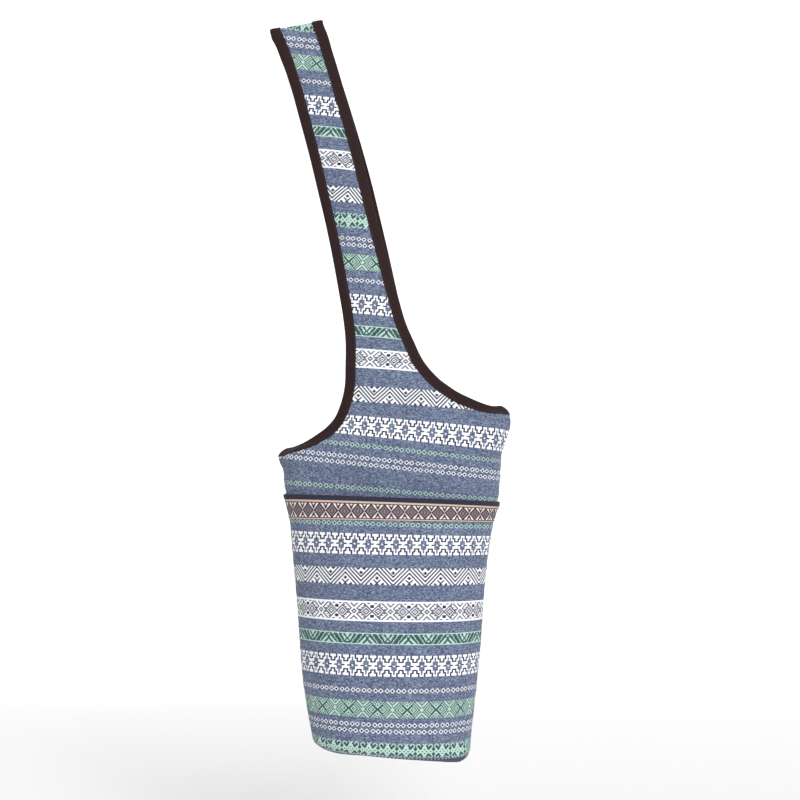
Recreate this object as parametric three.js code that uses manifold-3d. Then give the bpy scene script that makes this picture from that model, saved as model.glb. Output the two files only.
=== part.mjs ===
// Sling tote for a rolled exercise mat, hanging by its one wide strap.
// Millimetres, +Z up, +X to the wearer's right as seen from the front, the front faces -Y.
// The origin is the underside of the strap's top fold, at the strap's middle.
// Two cloth panels meet in one seam that runs down both sides and under the bag. Each panel
// narrows into half of the strap. A tape binds the opening and the strap's edge on each side.
import * as THREE from "three";
import { mergeVertices } from "three/addons/utils/BufferGeometryUtils.js";
import Module from "manifold-3d";

const wasm = await Module();
wasm.setup();

// Bag, filled and hanging
const BODY_WIDTH = 281; // across the opening, corner to corner
const BODY_HEIGHT = 391; // bottom seam to the line between the two corners
const BODY_DEPTH = 150; // front to back at the fullest level
const BASE_SAG = 17; // how far the back panel hangs below the bottom seam
// Strap
const STRAP_RISE = 512; // corner line to the top fold
const STRAP_WIDTH = 60;
const STRAP_LEAN = 118; // sideways, from the bag's centreline to the fold
const FOLD_RADIUS = 6.25; // inside the fold, round the peg or hand that holds it
const JOIN_DROP = 12; // from the fold down the back strap to the shoulder seam
// Cloth and trims
const CLOTH = 1.5; // woven face with its backing
const GAP = 0.3; // between two pieces that touch
const SEAM = 0.5; // between the panels' edges along the seam
const TAPE_WIDTH = 12; // binding on the opening and the strap
const TAPE = 1.1;
const POCKET_SLACK = 16; // how far the pocket's mouth stands open at its middle
const POCKET_EDGE = 4.3; // height of the binding on the pocket's mouth
const RIBBON_WIDTH = 22;
const RIBBON = 0.9;
// Fineness of the mesh
const COLUMNS = 12; // cells across a panel
const LEVEL_STEP = 62; // longest cell along a panel

const deg = THREE.MathUtils.degToRad;
const CROWN = CLOTH / 2; // height of the cloth's middle at the top of the fold

// The bag under its opening, from the base's turn upwards. up: share of BODY_HEIGHT. shift: of
// the row's middle from the centreline, share of BODY_WIDTH. wide: half width, share of half of
// BODY_WIDTH. tilt: degrees, the right end up. front, back: reach from the middle plane, and
// side: where the row is widest, forwards, all shares of half of BODY_DEPTH. seam: degrees
// round from the middle of the front to the side seam.
const BODY_ROWS = [
  { up: 0.087, shift: -0.002, wide: 0.674, tilt: -1.4, front: 0.9, back: 0.86, side: 0.22, seam: 66 },
  { up: 0.152, shift: -0.0055, wide: 0.706, tilt: -1.4, front: 0.95, back: 0.93, side: 0.14, seam: 73 },
  { up: 0.239, shift: -0.007, wide: 0.74, tilt: -1.0, front: 0.99, back: 0.98, side: 0.08, seam: 77 },
  { up: 0.364, shift: -0.0055, wide: 0.778, tilt: -0.6, front: 1.0, back: 1.0, side: 0.04, seam: 78 },
  { up: 0.504, shift: -0.0055, wide: 0.81, tilt: -0.3, front: 0.965, back: 0.97, side: 0.03, seam: 77 },
  { up: 0.642, shift: -0.0045, wide: 0.846, tilt: -0.6, front: 0.89, back: 0.91, side: 0.03, seam: 77 },
  { up: 0.757, shift: 0, wide: 0.89, tilt: -1.2, front: 0.82, back: 0.85, side: 0.02, seam: 80 },
  { up: 0.803, shift: 0.0005, wide: 0.915, tilt: -2.1, front: 0.79, back: 0.82, side: 0.01, seam: 82 },
  { up: 0.897, shift: 0.003, wide: 0.953, tilt: 3.6, front: 0.75, back: 0.77, side: 0.0, seam: 86 },
  { up: 1.0, shift: 0.009, wide: 0.99, tilt: 10.0, front: 0.69, back: 0.7, side: 0.0, seam: 90 },
];
const MOUTH_ROW = 7; // the row of BODY_ROWS along the pocket's mouth

// The strap and the shoulders that it grows from, from the corner line upwards. up: share of
// STRAP_RISE. lean: of the row's middle from the fold, share of STRAP_LEAN. flare: width, from
// 0 for the plain strap to 1 for the opening. tilt: degrees. reach: front and back, from the
// middle plane, share of half of BODY_DEPTH. arc: degrees from the row's middle to its edge on
// the ellipse that it is cut from, and bulge: that ellipse's depth, share of half of
// BODY_DEPTH. slip: how far the back strap hangs to the right of the front one, share of
// STRAP_WIDTH.
const STRAP_ROWS = [
  { up: 0.0098, lean: 1.013, flare: 0.9, tilt: 10.9, reach: 0.688, arc: 81, bulge: 0.688, slip: 0 },
  { up: 0.024, lean: 1.009, flare: 0.74, tilt: 12.6, reach: 0.68, arc: 66, bulge: 0.68, slip: 0 },
  { up: 0.0467, lean: 0.999, flare: 0.526, tilt: 15.0, reach: 0.665, arc: 50, bulge: 0.66, slip: 0 },
  { up: 0.0729, lean: 0.976, flare: 0.365, tilt: 18.4, reach: 0.645, arc: 41, bulge: 0.635, slip: 0 },
  { up: 0.1064, lean: 0.945, flare: 0.247, tilt: 20.6, reach: 0.615, arc: 36.5, bulge: 0.6, slip: 0 },
  { up: 0.142, lean: 0.918, flare: 0.168, tilt: 20.8, reach: 0.585, arc: 35.5, bulge: 0.55, slip: 0 },
  { up: 0.186, lean: 0.883, flare: 0.115, tilt: 19.6, reach: 0.55, arc: 36, bulge: 0.49, slip: 0 },
  { up: 0.234, lean: 0.843, flare: 0.066, tilt: 18.2, reach: 0.512, arc: 38.5, bulge: 0.42, slip: 0.01 },
  { up: 0.299, lean: 0.788, flare: 0.036, tilt: 17.2, reach: 0.462, arc: 41, bulge: 0.385, slip: 0.03 },
  { up: 0.36, lean: 0.73, flare: 0.022, tilt: 16.4, reach: 0.42, arc: 44, bulge: 0.35, slip: 0.05 },
  { up: 0.43, lean: 0.663, flare: 0.01, tilt: 16.0, reach: 0.375, arc: 47, bulge: 0.325, slip: 0.07 },
  { up: 0.514, lean: 0.578, flare: 0.0, tilt: 16.0, reach: 0.325, arc: 49, bulge: 0.31, slip: 0.085 },
  { up: 0.603, lean: 0.487, flare: 0.0, tilt: 16.2, reach: 0.275, arc: 48.5, bulge: 0.29, slip: 0.08 },
  { up: 0.693, lean: 0.392, flare: 0.0, tilt: 16.2, reach: 0.225, arc: 47, bulge: 0.25, slip: 0.055 },
  { up: 0.782, lean: 0.288, flare: 0.0, tilt: 16.2, reach: 0.178, arc: 44, bulge: 0.2, slip: 0.03 },
  { up: 0.865, lean: 0.186, flare: 0.0, tilt: 15.6, reach: 0.14, arc: 40, bulge: 0.14, slip: 0.01 },
  { up: 0.93, lean: 0.096, flare: 0.006, tilt: 13.6, reach: 0.112, arc: 34, bulge: 0.08, slip: 0 },
  { up: 0.968, lean: 0.038, flare: 0.014, tilt: 11.4, reach: 0.098, arc: 28, bulge: 0.03, slip: 0 },
];
// The same columns where the strap folds over.
const FOLD = { flare: 0.02, tilt: 10.4, arc: 26 };
const FOLD_TURNS = [0, 30, 60, 90, 120, 150, 180]; // degrees round the fold, from the front

// Where the bottom seam lies, and how far it reaches: shares as in BODY_ROWS.
const SEAM_LINE = { up: 0.033, shift: 0.06, wide: 0.4, tilt: -4.6, side: 0.58 };
const BASE_TURNS = [0, 12, 25, 39, 54, 71]; // degrees of the base's turn, up from the seam
const BASE_BLUNT = 0.8; // under 1 is blunter than an ellipse

// A row across the bag as lengths: x, z are its middle, rise is its tilt in radians, and the
// ellipse that front and back follow is half wide; each side starts at its own y and comes
// back by its bulge. edge is the angle of the front panel's edge. sag is how far the back
// panel hangs below the row, and slip how far it lies to the right.
function bodyRow(row) {
  const halfDepth = BODY_DEPTH / 2;
  const widestY = -row.side * halfDepth;
  return {
    x: STRAP_LEAN + row.shift * BODY_WIDTH,
    z: CROWN - STRAP_RISE - BODY_HEIGHT * (1 - row.up),
    rise: deg(row.tilt),
    half: (row.wide * BODY_WIDTH) / 2,
    frontY: -row.front * halfDepth,
    frontBulge: widestY + row.front * halfDepth,
    backY: row.back * halfDepth,
    backBulge: row.back * halfDepth - widestY,
    edge: deg(row.seam),
    sag: 0,
    slip: 0,
  };
}

function strapRow(row) {
  const halfDepth = BODY_DEPTH / 2;
  const halfWidth = (STRAP_WIDTH + row.flare * (BODY_WIDTH - STRAP_WIDTH)) / 2;
  return {
    x: row.lean * STRAP_LEAN,
    z: CROWN - STRAP_RISE * (1 - row.up),
    rise: deg(row.tilt),
    half: halfWidth / Math.sin(deg(row.arc)),
    frontY: -row.reach * halfDepth,
    frontBulge: row.bulge * halfDepth,
    backY: row.reach * halfDepth,
    backBulge: row.bulge * halfDepth,
    edge: deg(row.arc),
    sag: 0,
    slip: row.slip * STRAP_WIDTH,
  };
}

// A row at an angle round the fold: 0 on the front strap, half a turn on the back strap.
function foldRow(turn) {
  const radius = FOLD_RADIUS + CLOTH / 2;
  const rise = deg(FOLD.tilt);
  const lift = radius * Math.sin(turn);
  const halfWidth = (STRAP_WIDTH + FOLD.flare * (BODY_WIDTH - STRAP_WIDTH)) / 2;
  return {
    x: -lift * Math.sin(rise),
    z: CROWN - radius + lift * Math.cos(rise),
    rise,
    half: halfWidth / Math.sin(deg(FOLD.arc)),
    frontY: -radius * Math.cos(turn),
    frontBulge: 0,
    backY: radius,
    backBulge: 0,
    edge: deg(FOLD.arc),
    sag: 0,
    slip: 0,
  };
}

// The rows of the base's turn: from the bottom seam, where front and back meet in one line,
// out and up to the first row of the walls.
function baseRows() {
  const wall = bodyRow(BODY_ROWS[0]);
  const line = bodyRow({ ...SEAM_LINE, front: SEAM_LINE.side, back: -SEAM_LINE.side, seam: 90 });
  const blend = (a, b, share) => a + (b - a) * share;
  return BASE_TURNS.map((turn) => {
    const out = Math.sin(deg(turn)) ** BASE_BLUNT;
    const up = 1 - Math.cos(deg(turn)) ** BASE_BLUNT;
    const row = {};
    for (const name of Object.keys(line)) row[name] = blend(line[name], wall[name], out);
    row.z = blend(line.z, wall.z, up);
    row.rise = blend(line.rise, wall.rise, up);
    row.edge = blend(line.edge, wall.edge, out ** 2);
    const widestY = blend(line.frontY, wall.frontY + wall.frontBulge, out ** 2);
    row.frontBulge = widestY - row.frontY;
    row.backBulge = row.backY - widestY;
    row.sag = BASE_SAG * Math.sin(2 * deg(turn));
    return row;
  });
}

// A smooth curve through the rows' values, measured along the cloth.
class Loft {
  constructor(rows) {
    this.rows = rows;
    this.knots = [0];
    for (let i = 1; i < rows.length; i++) {
      const a = rows[i - 1];
      const b = rows[i];
      const front = b.frontY - a.frontY;
      const back = b.backY - a.backY;
      const step = Math.hypot(b.x - a.x, b.z - a.z, Math.hypot(front, back) / Math.SQRT2);
      this.knots.push(this.knots[i - 1] + step);
    }
    this.end = this.knots.at(-1);
  }
  slope(name, i) {
    const { rows, knots } = this;
    const last = rows.length - 1;
    const rate = (j) => (rows[j + 1][name] - rows[j][name]) / (knots[j + 1] - knots[j]);
    if (i === 0) return (3 * rate(0) - this.slope(name, 1)) / 2;
    if (i === last) return rate(last - 1);
    const before = knots[i] - knots[i - 1];
    const after = knots[i + 1] - knots[i];
    return (rate(i - 1) * after + rate(i) * before) / (before + after);
  }
  row(t) {
    const { rows, knots } = this;
    let i = 0;
    while (i < rows.length - 2 && t > knots[i + 1]) i++;
    const span = knots[i + 1] - knots[i];
    const u = (t - knots[i]) / span;
    const row = {};
    for (const name of Object.keys(rows[i])) {
      const a = rows[i][name];
      const b = rows[i + 1][name];
      const ma = this.slope(name, i) * span;
      const mb = this.slope(name, i + 1) * span;
      const u2 = u * u;
      const u3 = u2 * u;
      row[name] = a * (2 * u3 - 3 * u2 + 1) + ma * (u3 - 2 * u2 + u);
      row[name] += b * (3 * u2 - 2 * u3) + mb * (u3 - u2);
    }
    return row;
  }
}

const sharedRows = [
  ...baseRows(),
  ...BODY_ROWS.map(bodyRow),
  ...STRAP_ROWS.map(strapRow),
  foldRow(0),
];
const cornerRow = BASE_TURNS.length + BODY_ROWS.length - 1;
const tube = new Loft(sharedRows);
const wallFoot = tube.knots[BASE_TURNS.length];
const mouth = tube.knots[BASE_TURNS.length + MOUTH_ROW];
const corner = tube.knots[cornerRow];

// The side seam and the free edge meet at the corner in a sharp turn, so the edge's angle is
// joined in two separate curves, one below the corner and one above it.
const lowerEdge = new Loft(sharedRows.slice(0, cornerRow + 1));
const upperEdge = new Loft(sharedRows.slice(cornerRow));
function edgeAngle(t) {
  return t <= corner ? lowerEdge.row(t).edge : upperEdge.row(t - corner).edge;
}

// The front panel goes on over the fold and down the back, as far as the shoulder seam.
function backAsFront(t) {
  const row = tube.row(t);
  return { ...row, x: row.x + row.slip, frontY: row.backY, frontBulge: -row.backBulge };
}
const overRows = [
  ...FOLD_TURNS.map((turn) => foldRow(deg(turn))),
  backAsFront(tube.end - JOIN_DROP / 2),
  backAsFront(tube.end - JOIN_DROP),
];
const over = new Loft(overRows.map((row) => ({ ...row, backY: row.frontY })));
const frontEnd = tube.end + over.end;
const backEnd = tube.end - JOIN_DROP - GAP;

function smoothStep(a, b, v) {
  const u = Math.min(1, Math.max(0, (v - a) / (b - a)));
  return u * u * (3 - 2 * u);
}

// How far the front panel stands back from the pocket: most at the middle of the mouth.
function slackAt(t, s) {
  const below = smoothStep(wallFoot, mouth, t);
  const above = 1 - smoothStep(mouth, corner, t);
  const across = Math.cos((s * Math.PI) / 2) ** 2;
  return POCKET_SLACK * below * above * across;
}

// A point of the front, at t along the cloth and s across it, from -1 at the left edge to 1
// at the right.
function frontTube(t, s) {
  const row = t <= tube.end ? tube.row(t) : over.row(t - tube.end);
  const angle = s * (t <= tube.end ? edgeAngle(t) : row.edge);
  const out = row.half * Math.sin(angle);
  return new THREE.Vector3(
    row.x + out * Math.cos(row.rise),
    row.frontY + row.frontBulge * (1 - Math.cos(angle)) - SEAM / 2,
    row.z + out * Math.sin(row.rise),
  );
}

function frontPanel(t, s) {
  const point = frontTube(t, s);
  if (t <= corner) point.y += slackAt(t, s);
  return point;
}

function backPanel(t, s) {
  const row = tube.row(t);
  const angle = s * (t <= corner ? Math.PI - edgeAngle(t) : edgeAngle(t));
  const out = row.half * Math.sin(angle);
  const round = Math.abs(angle) > Math.PI / 2;
  const y = round
    ? row.frontY + row.frontBulge * (1 + Math.cos(angle))
    : row.backY - row.backBulge * (1 - Math.cos(angle));
  return new THREE.Vector3(
    row.x + row.slip + out * Math.cos(row.rise),
    y + SEAM / 2,
    row.z + out * Math.sin(row.rise) - row.sag * (1 - s ** 4) ** 2,
  );
}

// Directions of a surface at a point: along, across and outwards. They are taken just inside
// the edges, because both panels come to a cusp where the seam turns up from the bottom.
const NUDGE = 0.01; // of the way across
const NUDGE_MM = 0.4; // along the cloth
const INSIDE = 0.96; // of the way across
const INSIDE_MM = 9; // up from the bottom seam
function directions(surface, level, place) {
  const s = Math.min(INSIDE, Math.max(-INSIDE, place));
  const t = Math.max(INSIDE_MM, level);
  const t0 = t - NUDGE_MM;
  const t1 = Math.min(surface.range[1], t + NUDGE_MM);
  const along = surface.at(t1, s).sub(surface.at(t0, s)).divideScalar(t1 - t0);
  const across = surface.at(t, s + NUDGE).sub(surface.at(t, s - NUDGE)).divideScalar(2 * NUDGE);
  const out = new THREE.Vector3().crossVectors(across, along).normalize();
  if (surface.rear) out.negate();
  return { along, across, out };
}

// Levels near the mouth, where the pocket's cloth bends outwards, in heights of its binding.
const mouthMarks = [4, 2.5, 1].map((heights) => mouth - heights * POCKET_EDGE);

const TUBE = { at: frontTube, range: [0, frontEnd], rear: false };
const FRONT = { at: frontPanel, range: [0, frontEnd], rear: false };
const BACK = { at: backPanel, range: [0, backEnd], rear: true };
const POCKET = { at: pocketPoint, range: [0, mouth], rear: false };

const SHARPEST_MITRE = 0.5; // cosine of half the angle that two panels turn through

// The way that a millimetre of thickness goes. Along the seam, where two panels meet at an
// angle, both go the same way, so that their edges stay side by side.
function thickness(surface, t, s) {
  const { out } = directions(surface, t, s);
  if (t > 0 && (Math.abs(s) < 1 || t > corner)) return out;
  const front = directions(TUBE, t, s).out;
  const back = directions(BACK, t, s).out;
  const shared = front.clone().add(back).normalize();
  return shared.divideScalar(Math.max(SHARPEST_MITRE, shared.dot(front)));
}

// The pocket lies on the outside of the front, a cloth's thickness and a gap away, and makes
// room for the back leg of the binding on its mouth.
function pocketPoint(t, s) {
  const room = (GAP + TAPE) * smoothStep(mouthMarks[0], mouthMarks.at(-1), t);
  return frontTube(t, s).addScaledVector(thickness(TUBE, t, s), CLOTH + GAP + room);
}

function solidMesh(points, faces) {
  const geometry = new THREE.BufferGeometry();
  const numbers = points.flatMap((point) => point.toArray());
  geometry.setAttribute("position", new THREE.Float32BufferAttribute(numbers, 3));
  geometry.setIndex(faces.flat());
  return geometry;
}

// A wall of even thickness on a grid of a surface: a row of the grid for each t in levels, a
// column for each s in places. lift moves the wall outwards from the surface.
function wall(surface, levels, places, thick, lift = 0) {
  const points = [];
  const wide = places.length;
  const columns = wide - 1;
  for (const side of [1, -1]) {
    for (const t of levels) {
      for (const s of places) {
        const way = thickness(surface, t, s);
        points.push(surface.at(t, s).addScaledVector(way, lift + (side * thick) / 2));
      }
    }
  }
  const inner = levels.length * wide;
  const faces = [];
  const quad = (a, b, c, d) => faces.push([a, b, c], [a, c, d]);
  const flip = surface.rear;
  const turned = (a, b, c, d) => (flip ? quad(a, d, c, b) : quad(a, b, c, d));
  for (let i = 0; i < levels.length - 1; i++) {
    for (let j = 0; j < columns; j++) {
      const a = i * wide + j;
      turned(a, a + 1, a + wide + 1, a + wide);
      turned(inner + a, inner + a + wide, inner + a + wide + 1, inner + a + 1);
    }
  }
  for (let j = 0; j < columns; j++) {
    const top = (levels.length - 1) * wide + j;
    turned(j, inner + j, inner + j + 1, j + 1);
    turned(top, top + 1, inner + top + 1, inner + top);
  }
  for (let i = 0; i < levels.length - 1; i++) {
    const left = i * wide;
    const right = left + columns;
    turned(left, left + wide, inner + left + wide, inner + left);
    turned(right, inner + right, inner + right + wide, right + wide);
  }
  return solidMesh(points, faces);
}

// The levels of a panel: its rows, and enough between them to keep its cells short.
function levelsOf(knots, from, to) {
  const inner = knots.filter((t) => t > from + 1 && t < to - 1).sort((a, b) => a - b);
  const marks = [from, ...inner, to];
  const levels = [];
  for (let i = 0; i < marks.length - 1; i++) {
    const parts = Math.ceil((marks[i + 1] - marks[i]) / LEVEL_STEP);
    for (let k = 0; k < parts; k++) levels.push(marks[i] + ((marks[i + 1] - marks[i]) * k) / parts);
  }
  return [...levels, to];
}

const MERGE = 1e-4; // vertices closer than this are one

function toManifold(geometry) {
  const bare = new THREE.BufferGeometry();
  bare.setAttribute("position", geometry.getAttribute("position"));
  if (geometry.index) bare.setIndex(geometry.index);
  const merged = mergeVertices(bare, MERGE);
  return new wasm.Manifold(
    new wasm.Mesh({
      numProp: 3,
      vertProperties: new Float32Array(merged.attributes.position.array),
      triVerts: new Uint32Array(merged.index.array),
    }),
  );
}

function fromManifold(solid) {
  const mesh = solid.getMesh();
  const geometry = new THREE.BufferGeometry();
  geometry.setAttribute("position", new THREE.BufferAttribute(mesh.vertProperties, 3));
  geometry.setIndex(new THREE.BufferAttribute(mesh.triVerts, 1));
  return geometry;
}

// The grid's columns.
const ACROSS = Array.from({ length: COLUMNS + 1 }, (_, j) => (2 * j) / COLUMNS - 1);

// A point that has walked from the edge into the cloth, square to the edge.
const WALK_STEP = 3;
function walk(surface, t, s, heading, distance) {
  const steps = Math.max(1, Math.ceil(distance / WALK_STEP));
  const step = distance / steps;
  let place = { t, s };
  let way = heading.clone();
  for (let k = 0; k < steps; k++) {
    const { along, across, out } = directions(surface, place.t, place.s);
    way.addScaledVector(out, -way.dot(out)).normalize();
    const aa = along.dot(along);
    const ab = along.dot(across);
    const bb = across.dot(across);
    const wa = way.dot(along);
    const wb = way.dot(across);
    const det = aa * bb - ab * ab;
    place = {
      t: place.t + (step * (wa * bb - wb * ab)) / det,
      s: place.s + (step * (wb * aa - wa * ab)) / det,
    };
  }
  const end = directions(surface, place.t, place.s);
  return { point: surface.at(place.t, place.s), out: end.out };
}

// The free edge of one side as a closed loop of stations: up the front from the corner, over
// the fold to the shoulder seam, and from there down the back. join is the shoulder seam's.
function rimStations(side) {
  const above = (t) => t > corner + 1;
  const front = frontLevels.filter(above).map((t) => ({ surface: FRONT, t }));
  const back = backLevels.slice(0, -1).filter(above).map((t) => ({ surface: BACK, t }));
  const stations = [{ surface: FRONT, t: corner }, ...front, ...back.reverse()];
  const rim = stations.map(({ surface, t }) => ({ surface, t, point: surface.at(t, side) }));
  rim[0].point.lerp(BACK.at(corner, side), 0.5);
  return { rim, join: front.length };
}

// The section of the binding tape at each station of a free edge, folded over both faces of
// the cloth. Its corners are given by how deep they lie inside the edge and how high above
// the cloth's middle.
const TAPE_FACE = CLOTH / 2 + GAP + TAPE;
const TAPE_FOLD = GAP + TAPE;
const TAPE_SECTION = [
  [TAPE_WIDTH, TAPE_FACE], [TAPE_WIDTH / 2, TAPE_FACE], [0, TAPE_FACE],
  [-TAPE_FOLD, TAPE_FACE / 2], [-TAPE_FOLD, -TAPE_FACE / 2],
  [0, -TAPE_FACE], [TAPE_WIDTH / 2, -TAPE_FACE], [TAPE_WIDTH, -TAPE_FACE],
];
function tapeSections(side, rim) {
  return rim.map(({ surface, t, point }, i) => {
    const before = rim.at(i - 1).point;
    const after = rim[(i + 1) % rim.length].point;
    const run = after.clone().sub(before).normalize();
    const { out } = directions(surface, t, side);
    const inwards = new THREE.Vector3().crossVectors(out, run).multiplyScalar(side).normalize();
    const corners = TAPE_SECTION.map(([deep, high]) => {
      if (deep <= 0) return point.clone().addScaledVector(inwards, deep).addScaledVector(out, high);
      const reached = walk(surface, t, side, inwards, deep);
      return reached.point.addScaledVector(reached.out, high);
    });
    return { run, corners };
  });
}

// A length of tape through a row of sections, with flat ends.
function tapeStrip(sections, side) {
  const n = TAPE_SECTION.length;
  const last = (sections.length - 1) * n;
  const faces = [];
  for (let i = 0; i < last; i += n) {
    for (let j = 0; j < n; j++) {
      const k = (j + 1) % n;
      const [a, b, c, d] = [i + j, i + k, i + n + k, i + n + j];
      faces.push([a, b, c], [a, c, d]);
    }
  }
  for (let j = 1; j < n - 1; j++) faces.push([0, j + 1, j], [last, last + j, last + j + 1]);
  if (side < 0) faces.forEach((face) => face.reverse());
  return solidMesh(sections.flatMap(({ corners }) => corners), faces);
}

// The two lengths of tape on one side. They meet in the side seam at the corner, and in the
// shoulder seam.
function bindingTapes(side) {
  const { rim, join } = rimStations(side);
  const sections = tapeSections(side, rim);
  const moved = ({ run, corners }, distance) => ({
    corners: corners.map((corner) => corner.clone().addScaledVector(run, distance)),
  });
  const [seam, top] = [sections[0], sections[join]];
  const up = sections.slice(1, join + 1);
  const down = sections.slice(join + 1);
  return {
    front: tapeStrip([moved(seam, GAP / 2), ...up], side),
    back: tapeStrip([moved(top, GAP), ...down, moved(seam, -GAP / 2)], side),
  };
}

// The room that a panel takes up in its neighbours, with so much space on each side. It is a
// little longer than the panel, whose end faces aren't quite flat.
function roomOf(surface, levels, space) {
  const beyond = 1 + (2 * space) / STRAP_WIDTH;
  const from = surface.range[0] - GAP / 6;
  const to = surface.range[1] + GAP / 6;
  const places = [-beyond, ...ACROSS, beyond];
  const longer = { ...surface, range: [from, to] };
  return toManifold(wall(longer, [from, ...levels.slice(1, -1), to], places, CLOTH + 2 * space));
}

// A solid without the room of its neighbours.
function cutBy(geometry, rooms) {
  let solid = toManifold(geometry);
  for (const room of rooms) solid = solid.subtract(room);
  return fromManifold(solid);
}

// Just above the corner the free edge turns fast, so the cells are shorter there: marks in
// rows above the corner.
const CORNER_MARKS = [0.5, 1.5, 2.5];
const cornerMarks = CORNER_MARKS.map((rows) => {
  const k = cornerRow + Math.floor(rows);
  return tube.knots[k] + (rows % 1) * (tube.knots[k + 1] - tube.knots[k]);
});
const panelMarks = [...tube.knots, ...cornerMarks];
const frontLevels = [
  ...levelsOf(panelMarks, 0, tube.end),
  ...over.knots.slice(1).map((k) => tube.end + k),
];
const backLevels = levelsOf(panelMarks, 0, backEnd);
const pocketLevels = levelsOf([...tube.knots, ...mouthMarks], 0, mouth);

// The ribbon lies on the pocket just below its binding.
function pocketRibbon() {
  const ribbonTop = mouth - POCKET_EDGE - GAP;
  const levels = levelsOf(mouthMarks, ribbonTop - RIBBON_WIDTH, ribbonTop);
  return wall(POCKET, levels, ACROSS, RIBBON, CLOTH / 2 + GAP + RIBBON / 2);
}

// The pocket's binding, a channel over the cloth's edge: its outside and inside, each from the
// front leg's hem up over the edge and down to the back leg's hem.
function pocketBinding() {
  const face = CLOTH / 2 + GAP + TAPE;
  const inner = CLOTH / 2 + GAP;
  const crest = mouth + GAP + TAPE;
  const hem = mouth - POCKET_EDGE;
  const outside = [
    [hem, face], [mouth, face], [crest, face / 2],
    [crest, -face / 2], [mouth, -face], [hem, -face],
  ];
  const inside = [
    [hem, inner], [mouth, inner], [mouth + GAP, inner],
    [mouth + GAP, -inner], [mouth, -inner], [hem, -inner],
  ];
  const points = [];
  for (const s of ACROSS) {
    for (const [t, lift] of [...outside, ...inside]) {
      const way = thickness(POCKET, Math.min(t, mouth), s);
      points.push(pocketPoint(t, s).addScaledVector(way, lift));
    }
  }
  const n = outside.length;
  const faces = [];
  const quad = (a, b, c, d) => faces.push([a, c, b], [a, d, c]);
  for (let j = 0; j < COLUMNS; j++) {
    const a = j * 2 * n;
    const b = a + 2 * n;
    for (let k = 0; k < n - 1; k++) {
      quad(a + k, a + k + 1, b + k + 1, b + k);
      quad(a + n + k + 1, a + n + k, b + n + k, b + n + k + 1);
    }
    quad(a + n, a, b, b + n);
    quad(a + n - 1, a + 2 * n - 1, b + 2 * n - 1, b + n - 1);
  }
  for (let k = 0; k < n - 1; k++) {
    quad(k, n + k, n + k + 1, k + 1);
    const end = COLUMNS * 2 * n;
    quad(end + k, end + k + 1, end + n + k + 1, end + n + k);
  }
  return solidMesh(points, faces);
}

const paint = {
  cloth: { color: 0x66718c, roughness: 0.9, metalness: 0 },
  tape: { color: 0x33211f, roughness: 0.85, metalness: 0 },
  navy: { color: 0x23283c, roughness: 0.8, metalness: 0 },
  ribbon: { color: 0x6b5558, roughness: 0.8, metalness: 0 },
};

const bag = new THREE.Group();
function add(name, geometry, material) {
  const mesh = new THREE.Mesh(geometry, new THREE.MeshStandardMaterial(paint[material]));
  mesh.name = name;
  bag.add(mesh);
}

const closeRooms = [roomOf(FRONT, frontLevels, GAP / 2), roomOf(BACK, backLevels, GAP / 2)];
const tapeRooms = [roomOf(FRONT, frontLevels, GAP), roomOf(BACK, backLevels, GAP)];
add("front_panel", wall(FRONT, frontLevels, ACROSS, CLOTH), "cloth");
add("back_panel", cutBy(wall(BACK, backLevels, ACROSS, CLOTH), [closeRooms[0]]), "cloth");
add("pocket_panel", cutBy(wall(POCKET, pocketLevels, ACROSS, CLOTH), closeRooms), "cloth");
for (const [name, side] of [["left", -1], ["right", 1]]) {
  const tapes = bindingTapes(side);
  add(`${name}_front_binding`, cutBy(tapes.front, tapeRooms), "tape");
  add(`${name}_back_binding`, cutBy(tapes.back, tapeRooms), "tape");
}
add("pocket_binding", pocketBinding(), "navy");
add("pocket_ribbon", pocketRibbon(), "ribbon");

export default bag;
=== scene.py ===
"""Looks of a sling tote for a rolled exercise mat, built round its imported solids.

Lengths are millimetres until a mesh is made, then metres. The tables of rows are those that
the solids were lofted from, so that the fine cloth lies where the plain solids lie.
"""

import math

import bpy
import numpy as np
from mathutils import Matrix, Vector


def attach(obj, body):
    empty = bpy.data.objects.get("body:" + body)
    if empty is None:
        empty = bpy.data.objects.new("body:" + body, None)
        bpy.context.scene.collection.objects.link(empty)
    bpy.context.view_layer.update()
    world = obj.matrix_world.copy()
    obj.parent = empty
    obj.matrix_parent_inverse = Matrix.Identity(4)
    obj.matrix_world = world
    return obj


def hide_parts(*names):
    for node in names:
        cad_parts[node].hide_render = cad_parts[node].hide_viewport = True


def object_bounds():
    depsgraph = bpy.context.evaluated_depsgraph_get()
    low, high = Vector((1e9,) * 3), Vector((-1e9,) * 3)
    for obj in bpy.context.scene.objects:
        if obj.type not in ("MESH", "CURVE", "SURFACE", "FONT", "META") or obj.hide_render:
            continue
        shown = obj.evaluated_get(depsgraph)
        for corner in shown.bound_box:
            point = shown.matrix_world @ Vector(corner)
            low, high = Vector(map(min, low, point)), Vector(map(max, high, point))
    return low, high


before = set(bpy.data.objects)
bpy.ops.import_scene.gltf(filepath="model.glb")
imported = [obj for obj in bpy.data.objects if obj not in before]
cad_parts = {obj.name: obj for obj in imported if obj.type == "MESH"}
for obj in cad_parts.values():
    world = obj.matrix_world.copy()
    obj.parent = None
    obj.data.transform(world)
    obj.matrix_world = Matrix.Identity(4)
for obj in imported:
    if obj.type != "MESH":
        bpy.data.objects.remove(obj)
cad_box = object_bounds()

MM = 0.001

# Bag, filled and hanging
BODY_WIDTH = 281
BODY_HEIGHT = 391
BODY_DEPTH = 150
BASE_SAG = 17
STRAP_RISE = 512
STRAP_WIDTH = 60
STRAP_LEAN = 118
FOLD_RADIUS = 6.25
JOIN_DROP = 12
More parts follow.
